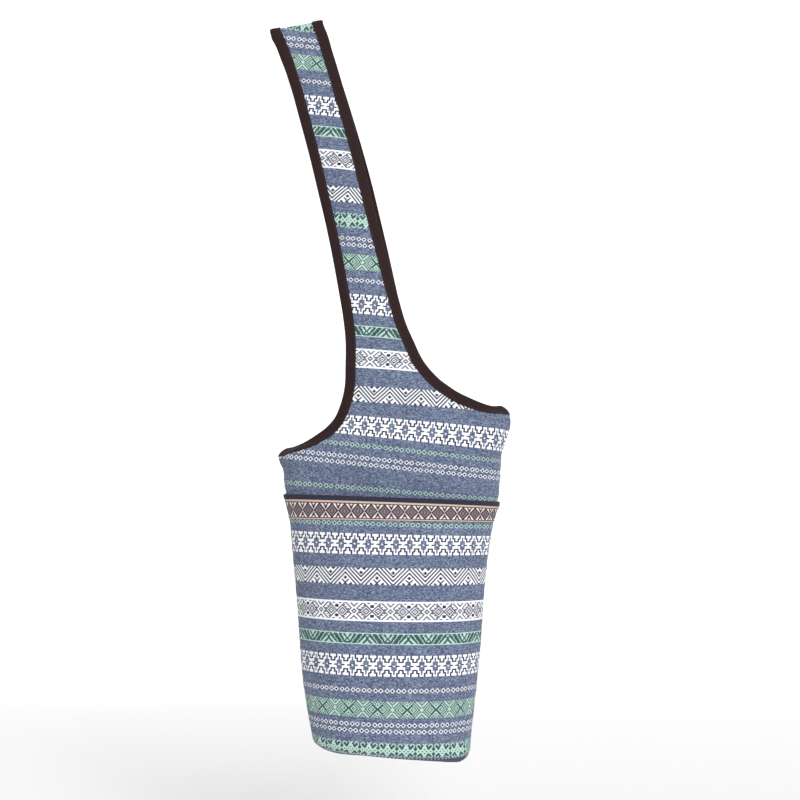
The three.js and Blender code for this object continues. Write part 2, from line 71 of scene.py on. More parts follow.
# Cloth and trims
CLOTH = 1.5
GAP = 0.3
SEAM = 0.5
TAPE_WIDTH = 12
TAPE = 1.1
POCKET_SLACK = 16
POCKET_EDGE = 4.3
RIBBON_WIDTH = 22
RIBBON = 0.9

CROWN = CLOTH / 2

# The bag's rows, as in the solids: shares of the sizes above, and angles in degrees.
BODY_COLUMNS = ("up", "shift", "wide", "tilt", "front", "back", "side", "seam")
BODY_ROWS = (
    (0.087, -0.002, 0.674, -1.4, 0.9, 0.86, 0.22, 66),
    (0.152, -0.0055, 0.706, -1.4, 0.95, 0.93, 0.14, 73),
    (0.239, -0.007, 0.74, -1.0, 0.99, 0.98, 0.08, 77),
    (0.364, -0.0055, 0.778, -0.6, 1.0, 1.0, 0.04, 78),
    (0.504, -0.0055, 0.81, -0.3, 0.965, 0.97, 0.03, 77),
    (0.642, -0.0045, 0.846, -0.6, 0.89, 0.91, 0.03, 77),
    (0.757, 0, 0.89, -1.2, 0.82, 0.85, 0.02, 80),
    (0.803, 0.0005, 0.915, -2.1, 0.79, 0.82, 0.01, 82),
    (0.897, 0.003, 0.953, 3.6, 0.75, 0.77, 0.0, 86),
    (1.0, 0.009, 0.99, 10.0, 0.69, 0.7, 0.0, 90),
)
MOUTH_ROW = 7
STRAP_COLUMNS = ("up", "lean", "flare", "tilt", "reach", "arc", "bulge", "slip")
STRAP_ROWS = (
    (0.0098, 1.013, 0.9, 10.9, 0.688, 81, 0.688, 0),
    (0.024, 1.009, 0.74, 12.6, 0.68, 66, 0.68, 0),
    (0.0467, 0.999, 0.526, 15.0, 0.665, 50, 0.66, 0),
    (0.0729, 0.976, 0.365, 18.4, 0.645, 41, 0.635, 0),
    (0.1064, 0.945, 0.247, 20.6, 0.615, 36.5, 0.6, 0),
    (0.142, 0.918, 0.168, 20.8, 0.585, 35.5, 0.55, 0),
    (0.186, 0.883, 0.115, 19.6, 0.55, 36, 0.49, 0),
    (0.234, 0.843, 0.066, 18.2, 0.512, 38.5, 0.42, 0.01),
    (0.299, 0.788, 0.036, 17.2, 0.462, 41, 0.385, 0.03),
    (0.36, 0.73, 0.022, 16.4, 0.42, 44, 0.35, 0.05),
    (0.43, 0.663, 0.01, 16.0, 0.375, 47, 0.325, 0.07),
    (0.514, 0.578, 0.0, 16.0, 0.325, 49, 0.31, 0.085),
    (0.603, 0.487, 0.0, 16.2, 0.275, 48.5, 0.29, 0.08),
    (0.693, 0.392, 0.0, 16.2, 0.225, 47, 0.25, 0.055),
    (0.782, 0.288, 0.0, 16.2, 0.178, 44, 0.2, 0.03),
    (0.865, 0.186, 0.0, 15.6, 0.14, 40, 0.14, 0.01),
    (0.93, 0.096, 0.006, 13.6, 0.112, 34, 0.08, 0),
    (0.968, 0.038, 0.014, 11.4, 0.098, 28, 0.03, 0),
)
FOLD_FLARE, FOLD_TILT, FOLD_ARC = 0.02, 10.4, 26
FOLD_TURNS = (0, 30, 60, 90, 120, 150, 180)
SEAM_LINE = {"up": 0.033, "shift": 0.06, "wide": 0.4, "tilt": -4.6, "side": 0.58}
BASE_TURNS = (0, 12, 25, 39, 54, 71)
BASE_BLUNT = 0.8


def body_row(row):
    half_depth = BODY_DEPTH / 2
    widest = -row["side"] * half_depth
    return {
        "x": STRAP_LEAN + row["shift"] * BODY_WIDTH,
        "z": CROWN - STRAP_RISE - BODY_HEIGHT * (1 - row["up"]),
        "rise": math.radians(row["tilt"]),
        "half": row["wide"] * BODY_WIDTH / 2,
        "front": -row["front"] * half_depth,
        "front_bulge": widest + row["front"] * half_depth,
        "back": row["back"] * half_depth,
        "back_bulge": row["back"] * half_depth - widest,
        "edge": math.radians(row["seam"]),
        "sag": 0.0,
        "slip": 0.0,
    }


def strap_half(flare):
    return (STRAP_WIDTH + flare * (BODY_WIDTH - STRAP_WIDTH)) / 2


def strap_row(row):
    half_depth = BODY_DEPTH / 2
    arc = math.radians(row["arc"])
    return {
        "x": row["lean"] * STRAP_LEAN,
        "z": CROWN - STRAP_RISE * (1 - row["up"]),
        "rise": math.radians(row["tilt"]),
        "half": strap_half(row["flare"]) / math.sin(arc),
        "front": -row["reach"] * half_depth,
        "front_bulge": row["bulge"] * half_depth,
        "back": row["reach"] * half_depth,
        "back_bulge": row["bulge"] * half_depth,
        "edge": arc,
        "sag": 0.0,
        "slip": row["slip"] * STRAP_WIDTH,
    }


def fold_row(turn):
    radius = FOLD_RADIUS + CLOTH / 2
    rise = math.radians(FOLD_TILT)
    lift = radius * math.sin(turn)
    arc = math.radians(FOLD_ARC)
    return {
        "x": -lift * math.sin(rise),
        "z": CROWN - radius + lift * math.cos(rise),
        "rise": rise,
        "half": strap_half(FOLD_FLARE) / math.sin(arc),
        "front": -radius * math.cos(turn),
        "front_bulge": 0.0,
        "back": radius,
        "back_bulge": 0.0,
        "edge": arc,
        "sag": 0.0,
        "slip": 0.0,
    }


def base_rows():
    """The base's turn, from the bottom seam out and up to the first row of the walls."""
    wall = body_row(dict(zip(BODY_COLUMNS, BODY_ROWS[0])))
    side = SEAM_LINE["side"]
    line = body_row({**SEAM_LINE, "front": side, "back": -side, "seam": 90})
    rows = []
    for turn in BASE_TURNS:
        out = math.sin(math.radians(turn)) ** BASE_BLUNT
        up = 1 - math.cos(math.radians(turn)) ** BASE_BLUNT
        row = {name: line[name] + (wall[name] - line[name]) * out for name in line}
        row["z"] = line["z"] + (wall["z"] - line["z"]) * up
        row["rise"] = line["rise"] + (wall["rise"] - line["rise"]) * up
        row["edge"] = line["edge"] + (wall["edge"] - line["edge"]) * out**2
        goal = wall["front"] + wall["front_bulge"]
        widest = line["front"] + (goal - line["front"]) * out**2
        row["front_bulge"] = widest - row["front"]
        row["back_bulge"] = row["back"] - widest
        row["sag"] = BASE_SAG * math.sin(2 * math.radians(turn))
        rows.append(row)
    return rows


class Loft:
    """A smooth curve through the rows' values, measured along the cloth."""

    def __init__(self, rows):
        self.names = list(rows[0])
        self.values = np.array([[row[name] for name in self.names] for row in rows])
        step = {name: np.diff(self.values[:, i]) for i, name in enumerate(self.names)}
        depth = (step["front"] ** 2 + step["back"] ** 2) / 2
        spans = np.sqrt(step["x"] ** 2 + step["z"] ** 2 + depth)
        self.knots = np.concatenate([[0], np.cumsum(spans)])
        self.end = self.knots[-1]
        rate = np.diff(self.values, axis=0) / spans[:, None]
        before, after = spans[:-1, None], spans[1:, None]
        inner = (rate[:-1] * after + rate[1:] * before) / (before + after)
        first = (3 * rate[:1] - inner[:1]) / 2
        self.slopes = np.vstack([first, inner, rate[-1:]])

    def row(self, t):
        i = np.searchsorted(self.knots[1:-1], t, side="left")
        span = self.knots[i + 1] - self.knots[i]
        u = ((t - self.knots[i]) / span)[..., None]
        span = span[..., None]
        value = self.values[i] * (2 * u**3 - 3 * u**2 + 1)
        value = value + self.slopes[i] * span * (u**3 - 2 * u**2 + u)
        value = value + self.values[i + 1] * (3 * u**2 - 2 * u**3)
        value = value + self.slopes[i + 1] * span * (u**3 - u**2)
        return {name: value[..., k] for k, name in enumerate(self.names)}


shared_rows = (
    base_rows()
    + [body_row(dict(zip(BODY_COLUMNS, row))) for row in BODY_ROWS]
    + [strap_row(dict(zip(STRAP_COLUMNS, row))) for row in STRAP_ROWS]
    + [fold_row(0)]
)
CORNER_ROW = len(BASE_TURNS) + len(BODY_ROWS) - 1
tube = Loft(shared_rows)
wall_foot = tube.knots[len(BASE_TURNS)]
mouth = tube.knots[len(BASE_TURNS) + MOUTH_ROW]
corner = tube.knots[CORNER_ROW]
lower_edge = Loft(shared_rows[: CORNER_ROW + 1])
upper_edge = Loft(shared_rows[CORNER_ROW:])


def back_as_front(t):
    row = {name: float(value) for name, value in tube.row(np.array(t)).items()}
    row["x"] += row["slip"]
    row["front"], row["front_bulge"] = row["back"], -row["back_bulge"]
    return row


over_rows = [fold_row(math.radians(turn)) for turn in FOLD_TURNS]
over_rows += [back_as_front(tube.end - JOIN_DROP / 2), back_as_front(tube.end - JOIN_DROP)]
over = Loft([{**row, "back": row["front"]} for row in over_rows])
front_end = tube.end + over.end
back_end = tube.end - JOIN_DROP - GAP


def edge_angle(t):
    low = lower_edge.row(np.minimum(t, corner))["edge"]
    high = upper_edge.row(np.maximum(t - corner, 0))["edge"]
    return np.where(t <= corner, low, high)


def smooth_step(a, b, v):
    u = np.clip((v - a) / (b - a), 0, 1)
    return u * u * (3 - 2 * u)


# The opening's corners stand higher than in the plain solids: across, up, in mm.
CORNER_SHIFT = {-1: (4.5, 6.0), 1: (-3.0, 9.5)}
CORNER_ABOVE, CORNER_BELOW = 6, 38


def corner_shift(t, s):
    span = np.where(t > corner, CORNER_ABOVE, CORNER_BELOW)
    near = np.exp(-(((t - corner) / span) ** 2)) * smooth_step(0.6, 1, np.abs(s))
    x = np.where(s < 0, CORNER_SHIFT[-1][0], CORNER_SHIFT[1][0]) * near
    z = np.where(s < 0, CORNER_SHIFT[-1][1], CORNER_SHIFT[1][1]) * near
    return x, z


def points_of(x, y, z):
    return np.stack(np.broadcast_arrays(x, y, z), axis=-1)


def as_arrays(t, s):
    return np.broadcast_arrays(np.asarray(t, float), np.asarray(s, float))


def front_tube(t, s):
    """A point of the front, at t along the cloth and s across it, from -1 to 1."""
    t, s = as_arrays(t, s)
    row = tube.row(np.minimum(t, tube.end))
    beyond = over.row(np.maximum(t - tube.end, 0))
    below = t <= tube.end
    row["edge"] = edge_angle(np.minimum(t, tube.end))
    row = {name: np.where(below, row[name], beyond[name]) for name in row}
    angle = s * row["edge"]
    out = row["half"] * np.sin(angle)
    y = row["front"] + row["front_bulge"] * (1 - np.cos(angle)) - SEAM / 2
    dx, dz = corner_shift(t, s)
    x = row["x"] + out * np.cos(row["rise"]) + dx
    return points_of(x, y, row["z"] + out * np.sin(row["rise"]) + dz)


def slack_at(t, s):
    below = smooth_step(wall_foot, mouth, t)
    above = 1 - smooth_step(mouth, corner, t)
    return POCKET_SLACK * below * above * np.cos(s * math.pi / 2) ** 2


def front_panel(t, s):
    point = front_tube(t, s)
    point[..., 1] += np.where(np.asarray(t) <= corner, slack_at(t, s), 0)
    return point


def back_panel(t, s):
    t, s = as_arrays(t, s)
    row = tube.row(t)
    edge = edge_angle(t)
    angle = s * np.where(t <= corner, math.pi - edge, edge)
    out = row["half"] * np.sin(angle)
    round_side = row["front"] + row["front_bulge"] * (1 + np.cos(angle))
    flat_side = row["back"] - row["back_bulge"] * (1 - np.cos(angle))
    y = np.where(np.abs(angle) > math.pi / 2, round_side, flat_side) + SEAM / 2
    dx, dz = corner_shift(t, s)
    x = row["x"] + row["slip"] + out * np.cos(row["rise"]) + dx
    z = row["z"] + out * np.sin(row["rise"]) - row["sag"] * (1 - s**4) ** 2 + dz
    return points_of(x, y, z)


class Surface:
    def __init__(self, at, end, rear=False):
        self.at, self.end, self.rear = at, end, rear


TUBE = Surface(front_tube, front_end)
FRONT = Surface(front_panel, front_end)
BACK = Surface(back_panel, back_end, rear=True)

# Directions are taken just inside the edges, because the panels come to a cusp at the seam.
NUDGE = 0.01
NUDGE_MM = 0.4
INSIDE = 0.96
INSIDE_MM = 9
SHARPEST_MITRE = 0.5


def unit(v):
    return v / np.linalg.norm(v, axis=-1, keepdims=True)


def length_along(line):
    """Length from a line's first point to each of its points."""
    return np.concatenate([[0], np.cumsum(np.linalg.norm(np.diff(line, axis=0), axis=1))])


def directions(surface, level, place):
    s = np.clip(place, -INSIDE, INSIDE)
    t = np.maximum(INSIDE_MM, level)
    t0 = t - NUDGE_MM
    t1 = np.minimum(surface.end, t + NUDGE_MM)
    along = (surface.at(t1, s) - surface.at(t0, s)) / (t1 - t0)[..., None]
    across = (surface.at(t, s + NUDGE) - surface.at(t, s - NUDGE)) / (2 * NUDGE)
    out = unit(np.cross(across, along))
    return along, across, -out if surface.rear else out


def thickness(surface, t, s):
    """The way that a millimetre of thickness goes: both panels share it along their seam."""
    out = directions(surface, t, s)[2]
    in_seam = (t <= 0) | ((np.abs(s) >= 1) & (t <= corner))
    if not in_seam.any():
        return out
    low = np.minimum(t, corner)
    front = directions(TUBE, low, s)[2]
    shared = unit(front + directions(BACK, low, s)[2])
    lean = np.maximum(SHARPEST_MITRE, (shared * front).sum(-1, keepdims=True))
    return np.where(in_seam[..., None], shared / lean, out)


ROOM_FROM, ROOM_TO = 4, 1  # below the mouth, in heights of the edging


def pocket_point(t, s):
    """The pocket lies outside the front, and makes room for its edging's back leg."""
    t, s = as_arrays(t, s)
    first, last = mouth - ROOM_FROM * POCKET_EDGE, mouth - ROOM_TO * POCKET_EDGE
    room = (GAP + TAPE) * smooth_step(first, last, t)
    way = thickness(TUBE, t, s)
    return front_tube(t, s) + way * (CLOTH + GAP + room)[..., None]


POCKET = Surface(pocket_point, mouth)

# Soft waves of the hanging cloth. Each row: where it lies along the cloth in mm and across
# it, how far it reaches each way, its turn in degrees, and its height in mm.
BODY_WAVES = (
    (120, -0.62, 60, 0.22, 12, 1.0),
    (160, 0.58, 90, 0.2, -10, 0.9),
    (205, -0.1, 45, 0.5, 4, -0.7),
    (245, 0.72, 60, 0.2, 14, -0.8),
    (262, -0.75, 55, 0.18, -14, -0.9),
    (300, 0.2, 30, 0.6, 2, 0.6),
    (70, 0.1, 30, 0.5, 0, 0.8),
    (95, 0.8, 40, 0.12, -20, -0.9),
    (100, -0.85, 40, 0.12, 20, -0.8),
)
TOP_WAVES = (
    (415, -0.55, 26, 0.3, 30, 0.9),
    (430, 0.5, 30, 0.3, -26, 0.9),
    (458, 0.05, 22, 0.35, 6, -0.7),
    (520, -0.3, 50, 0.5, 0, 0.4),
    (610, 0.4, 60, 0.5, 0, 0.4),
    (700, -0.4, 60, 0.5, 0, -0.4),
    (800, 0.3, 70, 0.5, 0, 0.35),
)
WAVE_WIDE = 120  # what s = 1 stands for in a wave, in mm


def waves(rows, t, s):
    height = np.zeros(np.broadcast(t, s).shape)
    for t0, s0, along, across, turn, high in rows:
        slant = math.tan(math.radians(turn))
        a = (t - t0 - slant * (s - s0) * WAVE_WIDE) / along
        b = (s - s0 + slant * (t - t0) / WAVE_WIDE / 4) / across
        height = height + high * np.exp(-(a**2) - b**2)
    return height


PUCKER = 0.3
PUCKER_PITCH = 15
PUCKER_INSET, PUCKER_REACH = 0.05, 0.07
PUCKER_WANDER, WANDER_LENGTH = 1.7, 31
PUCKER_FADE = (30, 6)
SEAM_ROLL = 0.75
SEAM_ROLL_REACH = 0.02


def seam_form(t, s):
    """Puckers beside the side seams, and the cloth's turn into them."""
    near = 1 - np.abs(s)
    lower = 1 - smooth_step(corner - PUCKER_FADE[0], corner - PUCKER_FADE[1], t)
    wander = PUCKER_WANDER * np.sin(t / WANDER_LENGTH)
    phase = 2 * math.pi * t / PUCKER_PITCH + wander + np.sign(s)
    puckers = PUCKER * np.sin(phase) * np.exp(-((near - PUCKER_INSET) ** 2) / PUCKER_REACH**2)
    roll = -SEAM_ROLL * np.exp(-((near / SEAM_ROLL_REACH) ** 2))
    return (puckers + roll) * lower


PINCH = 4.0
PINCH_BELOW, PINCH_LENGTH = 10, 24
PINCH_AT, PINCH_REACH = 0.86, 0.09


def corner_pinch(t, s):
    """Below the opening's corners the cloth is drawn in, so that the tape's end faces out."""
    near = np.exp(-(((t - corner + PINCH_BELOW) / PINCH_LENGTH) ** 2))
    dip = PINCH * np.exp(-(((np.abs(s) - PINCH_AT) / PINCH_REACH) ** 2))
    return -near * dip


FRONT_BODY_WAVES, FRONT_TOP_WAVES = 1.5, 1.3
BACK_STRETCH, BACK_SQUEEZE, BACK_OFFSET = 1.04, 0.9, 8


def front_ripple(t, s):
    ripple = corner_pinch(t, s) + waves(BODY_WAVES, t, s) * FRONT_BODY_WAVES
    ripple = ripple + waves(TOP_WAVES, t, s) * FRONT_TOP_WAVES
    return ripple + seam_form(t, s)


def back_ripple(t, s):
    """The back has the front's waves, mirrored and moved a little."""
    ripple = waves(BODY_WAVES, t * BACK_STRETCH, -s * BACK_SQUEEZE)
    ripple = ripple + waves(TOP_WAVES, t + BACK_OFFSET, -s)
    return ripple + seam_form(t, s) + corner_pinch(t, s)


# How far the stripes drop to the right, in degrees, at heights along the front's middle.
FRONT_DROP = ((0, 2.3), (70, 2.3), (130, 1.0), (330, 1.2), (370, 4.4), (410, 6.0), (432, 6.2),
              (455, 5.6), (493, 3.2), (540, 4.6), (600, 6.0), (700, 6.0), (850, 6.6), (969, 7.0))
POCKET_DROP = ((0, 2.6), (70, 2.3), (110, 1.4), (160, 0.9), (300, 0.9), (330, 1.6), (370, 2.2))
TABLE_STEP = 1.0
SOLVER_STEPS = 12
RATE_ROWS = 41  # how many of its last rows give the rate beyond the table


class Weft:
    """Maps points of a panel to the weave: u along the stripes and v across them, in mm.

    A stripe is the cut of a plane that leans by the drop at the height where it meets the
    panel's middle. v is measured up the middle and square to the stripes."""

    def __init__(self, surface, drops, last):
        self.t = np.arange(0, last + TABLE_STEP, TABLE_STEP)
        self.mid = surface.at(self.t, np.zeros_like(self.t))
        heights, angles = np.array(drops).T
        self.drop = np.radians(np.interp(self.t, heights, angles))
        step = np.diff(self.mid, axis=0)
        lean = (self.drop[1:] + self.drop[:-1]) / 2
        du = step[:, 0] * np.cos(lean) - step[:, 2] * np.sin(lean)
        dv = np.sqrt(np.maximum(0, (step**2).sum(1) - du**2))
        self.u = np.concatenate([[0], np.cumsum(du)])
        self.v = np.concatenate([[0], np.cumsum(dv)])

    def rate(self, values):
        """How fast u or v grows at the table's end."""
        return (values[-1] - values[-RATE_ROWS]) / (self.t[-1] - self.t[-RATE_ROWS])

    def at_height(self, t):
        """v of the stripe whose middle is at t along the panel."""
        return float(np.interp(t, self.t, self.v))

    def map(self, t, points, arc):
        """u and v at points of the panel, with their arc across it from the middle."""
        low = np.minimum(t, self.t[-1])
        mid_x = np.interp(low, self.t, self.mid[:, 0])
        rising = np.maximum.accumulate(self.mid[:, 2])
        home = low.copy()
        for _ in range(SOLVER_STEPS):
            drop = np.interp(home, self.t, self.drop)
            home_x = np.interp(home, self.t, self.mid[:, 0])
            level = points[..., 2] + np.tan(drop) * (points[..., 0] - home_x)
            home = np.interp(level, rising, self.t)
        drop = np.interp(home, self.t, self.drop)
        home_x = np.interp(home, self.t, self.mid[:, 0])
        u = np.interp(home, self.t, self.u) + (arc + mid_x - home_x) / np.cos(drop)
        v = np.interp(home, self.t, self.v)
        return u, v


def arc_across(grid, s):
    """Arc from the panel's middle to each column of a grid, measured level."""
    step = np.hypot(np.diff(grid[..., 0], axis=1), np.diff(grid[..., 1], axis=1))
    arc = np.concatenate([np.zeros((grid.shape[0], 1)), np.cumsum(step, axis=1)], axis=1)
    middle = np.array([np.interp(0, s, row) for row in arc])
    return arc - middle[:, None]


def new_mesh(name, points, faces, smooth_angle=50):
    mesh = bpy.data.meshes.new(name)
    mesh.from_pydata((np.asarray(points) * MM).tolist(), [], [list(map(int, f)) for f in faces])
    mesh.validate()
    mesh.shade_smooth()
    mesh.set_sharp_from_angle(angle=math.radians(smooth_angle))
    piece = bpy.data.objects.new(name, mesh)
    bpy.context.scene.collection.objects.link(piece)
    return piece


def register(piece, node=None):
    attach(piece, "root")
    if node:
        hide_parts(node)


def write_weave(piece, *values):
    """Writes each point's place in the weave, which the materials read."""
    attribute = piece.data.attributes.new("weave", "FLOAT_VECTOR", "POINT")
    attribute.data.foreach_set("vector", np.stack(values, axis=1).astype(np.float32).ravel())


def grid_faces(rows, columns, flip):
    """Faces of a closed wall on a grid: its outer side, its inner side and its rim."""
    quads = []
    inner = rows * columns
    for i in range(rows - 1):
        for j in range(columns - 1):
            a = i * columns + j
            b, c, d = a + 1, a + columns + 1, a + columns
            quads.append((a, b, c, d))
            quads.append((inner + a, inner + d, inner + c, inner + b))
    rim = list(range(columns - 1))
    rim += [(i + 1) * columns - 1 for i in range(rows - 1)]
    rim += [(rows - 1) * columns + j for j in range(columns - 1, 0, -1)]
    rim += [i * columns for i in range(rows - 1, 0, -1)]
    quads += [(a, inner + a, inner + b, b) for a, b in zip(rim, rim[1:] + rim[:1])]
    return [quad[::-1] for quad in quads] if flip else quads


def cloth_shell(name, surface, levels, places, ripple, thick=CLOTH, lift=0.0):
    t, s = np.meshgrid(levels, places, indexing="ij")
    way = thickness(surface, t, s)
    middle = surface.at(t, s) + way * (ripple(t, s) + lift)[..., None]
    sides = [middle + way * thick / 2, middle - way * thick / 2]
    points = np.concatenate([side.reshape(-1, 3) for side in sides])
    piece = new_mesh(name, points, grid_faces(len(levels), len(places), surface.rear))
    return piece, t, s, middle


def weave_attribute(piece, u, v):
    """u and v on both sides of a wall, and 0 outside, 1 inside."""
    side = np.repeat([0.0, 1.0], u.size)
    write_weave(piece, np.tile(u.ravel(), 2), np.tile(v.ravel(), 2), side)


CORNER_STEP = 1.2


def corner_marks():
    """Closer levels round the opening's corners."""
    return [corner + k * CORNER_STEP for k in range(-6, 13)]


def even_levels(marks, step):
    levels = [marks[0]]
    for a, b in zip(marks, marks[1:]):
        parts = max(1, math.ceil((b - a) / step))
        levels += [a + (b - a) * k / parts for k in range(1, parts + 1)]
    return np.array(levels)


def dense_places(columns):
    """Places across a panel, closer together towards its edges."""
    even = np.linspace(-1, 1, columns + 1)
    return np.sin(even * math.pi / 2) * 0.25 + even * 0.75


TRIM_ANGLE, STITCH_ANGLE = 60, 70
LEVEL_STEP = 3.0
COLUMNS = 104

front_weft = Weft(FRONT, FRONT_DROP, tube.end - 1)
pocket_weft = Weft(POCKET, POCKET_DROP, mouth)


FOLD_FADE = (40, 4)


def weave_over_fold(weft, t, s, u, v):
    """Carries the front's weave on over the fold, where heights no longer rise."""
    top = weft.t[-1]
    share = smooth_step(top - FOLD_FADE[0], top - FOLD_FADE[1], t)
    below = t <= tube.end
    row = tube.row(np.minimum(t, tube.end))
    later = over.row(np.maximum(t - tube.end, 0))
    half = np.where(below, row["half"], later["half"])
    rise = np.where(below, row["rise"], later["rise"])
    edge = np.where(below, edge_angle(np.minimum(t, tube.end)), later["edge"])
    out = half * np.sin(s * edge)
    low = np.minimum(t, top)
    turn = rise + np.interp(low, weft.t, weft.drop)
    v_top = np.interp(low, weft.t, weft.v) + (t - low) * weft.rate(weft.v) + out * np.sin(turn)
    u_top = np.interp(low, weft.t, weft.u) + (t - low) * weft.rate(weft.u) + out * np.cos(turn)
    return u + (u_top - u) * share, v + (v_top - v) * share


BACK_LIFT = 25.0  # the back's weave is cut from further along the roll


def make_panel(name, node, surface, marks, ripple, weft):
    levels = even_levels(marks, LEVEL_STEP)
    places = dense_places(COLUMNS)
    piece, t, s, grid = cloth_shell(name, surface, levels, places, ripple)
    u, v = weft.map(t, grid, arc_across(grid, places))
    if surface is FRONT:
        u, v = weave_over_fold(weft, t, s, u, v)
    weave_attribute(piece, u, v + BACK_LIFT if surface is BACK else v)
    register(piece, node)
    return piece


# Tapes

WALK_STEP = 1.5


def walk(surface, t, s, heading, steps):
    """Points that have walked into the cloth from its edge, square to it, step by step."""
    t, s, way = t.copy(), s.copy(), heading.copy()
    track = [(t.copy(), s.copy())]
    for _ in range(steps):
        along, across, out = directions(surface, t, s)
        way = unit(way - out * (way * out).sum(-1, keepdims=True))
        aa, ab, bb = (along**2).sum(-1), (along * across).sum(-1), (across**2).sum(-1)
        wa, wb = (way * along).sum(-1), (way * across).sum(-1)
        det = aa * bb - ab * ab
        t = t + WALK_STEP * (wa * bb - wb * ab) / det
        s = s + WALK_STEP * (wb * aa - wa * ab) / det
        track.append((t.copy(), s.copy()))
    return track


# The tape's outer line, as depth inside the edge and height over the cloth's middle, from the
# outer hem to the fold. The inner hem's half mirrors it. The inner line lies along the cloth.
FACE = CLOTH / 2 + GAP + TAPE
LEG = CLOTH / 2 + GAP
TAPE_OUTSIDE = (
    (TAPE_WIDTH, FACE - 0.75), (TAPE_WIDTH + 0.1, FACE - 0.35), (TAPE_WIDTH - 0.15, FACE - 0.08),
    (TAPE_WIDTH - 0.7, FACE - 0.02), (TAPE_WIDTH - 1.6, FACE - 0.16), (TAPE_WIDTH - 2.4, FACE - 0.02),
    (8.0, FACE + 0.05), (6.0, FACE + 0.1), (4.0, FACE + 0.12), (2.0, FACE + 0.1), (0.6, FACE),
    (-0.4, FACE - 0.3), (-1.1, FACE - 0.85), (-1.4, FACE - 1.5),
)
TAPE_INSIDE = (
    (TAPE_WIDTH, LEG), (6.0, LEG), (0.0, LEG), (-0.3, 0.0), (0.0, -LEG), (6.0, -LEG),
    (TAPE_WIDTH, -LEG),
)
EDGE_STEP = 2.4
EDGE_SAMPLES = 3000


def rim_levels(surface, side, first, last):
    """Levels along a free edge, evenly spaced in length."""
    t = np.linspace(first, last, EDGE_SAMPLES)
    length = length_along(surface.at(t, np.full_like(t, side)))
    count = max(8, round(length[-1] / EDGE_STEP))
    return np.interp(np.linspace(0, length[-1], count), length, t), length[-1]


def tape_sections(surface, side, ripple):
    """Sections of the tape on one free edge, from the corner to the panel's end."""
    levels, length = rim_levels(surface, side, corner, surface.end)
    s = np.full_like(levels, side)
    edge = surface.at(levels, s)
    seam = (FRONT.at(corner, side) + BACK.at(corner, side)) / 2
    edge[0] = seam
    run = np.gradient(edge, axis=0)
    other = BACK if surface is FRONT else FRONT
    run[0] = edge[1] - other.at(levels[1], side)
    run = unit(run)
    out = directions(surface, levels, s)[2]
    turn = side if surface is FRONT else -side
    heading = unit(np.cross(out, run) * turn)
    edge[0] = seam + run[0] * GAP / 2
    steps = math.ceil(TAPE_WIDTH / WALK_STEP) + 1
    track = walk(surface, levels, s, heading, steps)
    base = np.array([surface.at(a, b) for a, b in track])
    ways = np.array([directions(surface, a, b)[2] for a, b in track])
    lift = np.array([ripple(a, b) for a, b in track])
    base = base + ways * lift[..., None]
    base[:, 0] += edge[0] - surface.at(levels[:1], s[:1])[0]
    return heading, out, base, ways, np.linspace(0, length, len(levels))


def section_points(rim, deep, high):
    """A line along the tape, at a depth inside the edge and a height over the cloth."""
    heading, out, base, ways, _ = rim
    if deep <= 0:
        return base[0] + heading * deep + out * high
    k = min(int(deep / WALK_STEP), len(base) - 2)
    share = deep / WALK_STEP - k
    point = base[k] * (1 - share) + base[k + 1] * share
    way = unit(ways[k] * (1 - share) + ways[k + 1] * share)
    return point + way * high


def closed_section(outside, inside):
    """A folded strip's section: the outer line on both sides, then back along the inner."""
    outer = [*outside, *((deep, -high) for deep, high in reversed(outside))]
    return outer + list(reversed(inside)), len(outer)


def folded_strip(name, rings, outer, flip, run):
    """A mesh through the lines of a folded section, closed at both ends."""
    count, stations = rings.shape[:2]
    faces = []
    for i in range(stations - 1):
        for j in range(count):
            a, b = i * count + j, i * count + (j + 1) % count
            faces.append((a, b, b + count, a + count))
    inner = count - outer
    pairs = [(j, count - 1 - round(j * (inner - 1) / (outer - 1))) for j in range(outer)]
    last = (stations - 1) * count
    for (a, b), (c, d) in zip(pairs, pairs[1:]):
        leg = (a, b, d, c) if b != d else (a, b, c)
        faces.append(leg)
        faces.append(tuple(last + i for i in reversed(leg)))
    if flip:
        faces = [face[::-1] for face in faces]
    piece = new_mesh(name, rings.transpose(1, 0, 2).reshape(-1, 3), faces, TRIM_ANGLE)
    run = np.repeat(run, count)
    girth = np.tile(length_along(rings[:, stations // 2]), stations)
    write_weave(piece, run, girth, np.zeros_like(run))
    return piece


def make_tape(name, node, surface, side, ripple):
    rim = tape_sections(surface, side, ripple)
    section, outer = closed_section(TAPE_OUTSIDE, TAPE_INSIDE)
    rings = np.array([section_points(rim, deep, high) for deep, high in section])
    piece = folded_strip(name, rings, outer, (side < 0) != surface.rear, rim[-1])
    register(piece, node)
    return piece, rim


STITCH_SIDES = 6
STITCH_INSET = 1.6
STITCH_HIGH = FACE - 0.05
# A stitch's rings: place in its length, then height and thickness in its radius.
STITCH_RINGS = (
    (-0.5, -1.0, 0.6), (-0.34, 0.0, 0.95), (0.0, 0.35, 1.0), (0.34, 0.0, 0.95), (0.5, -1.0, 0.6),
)


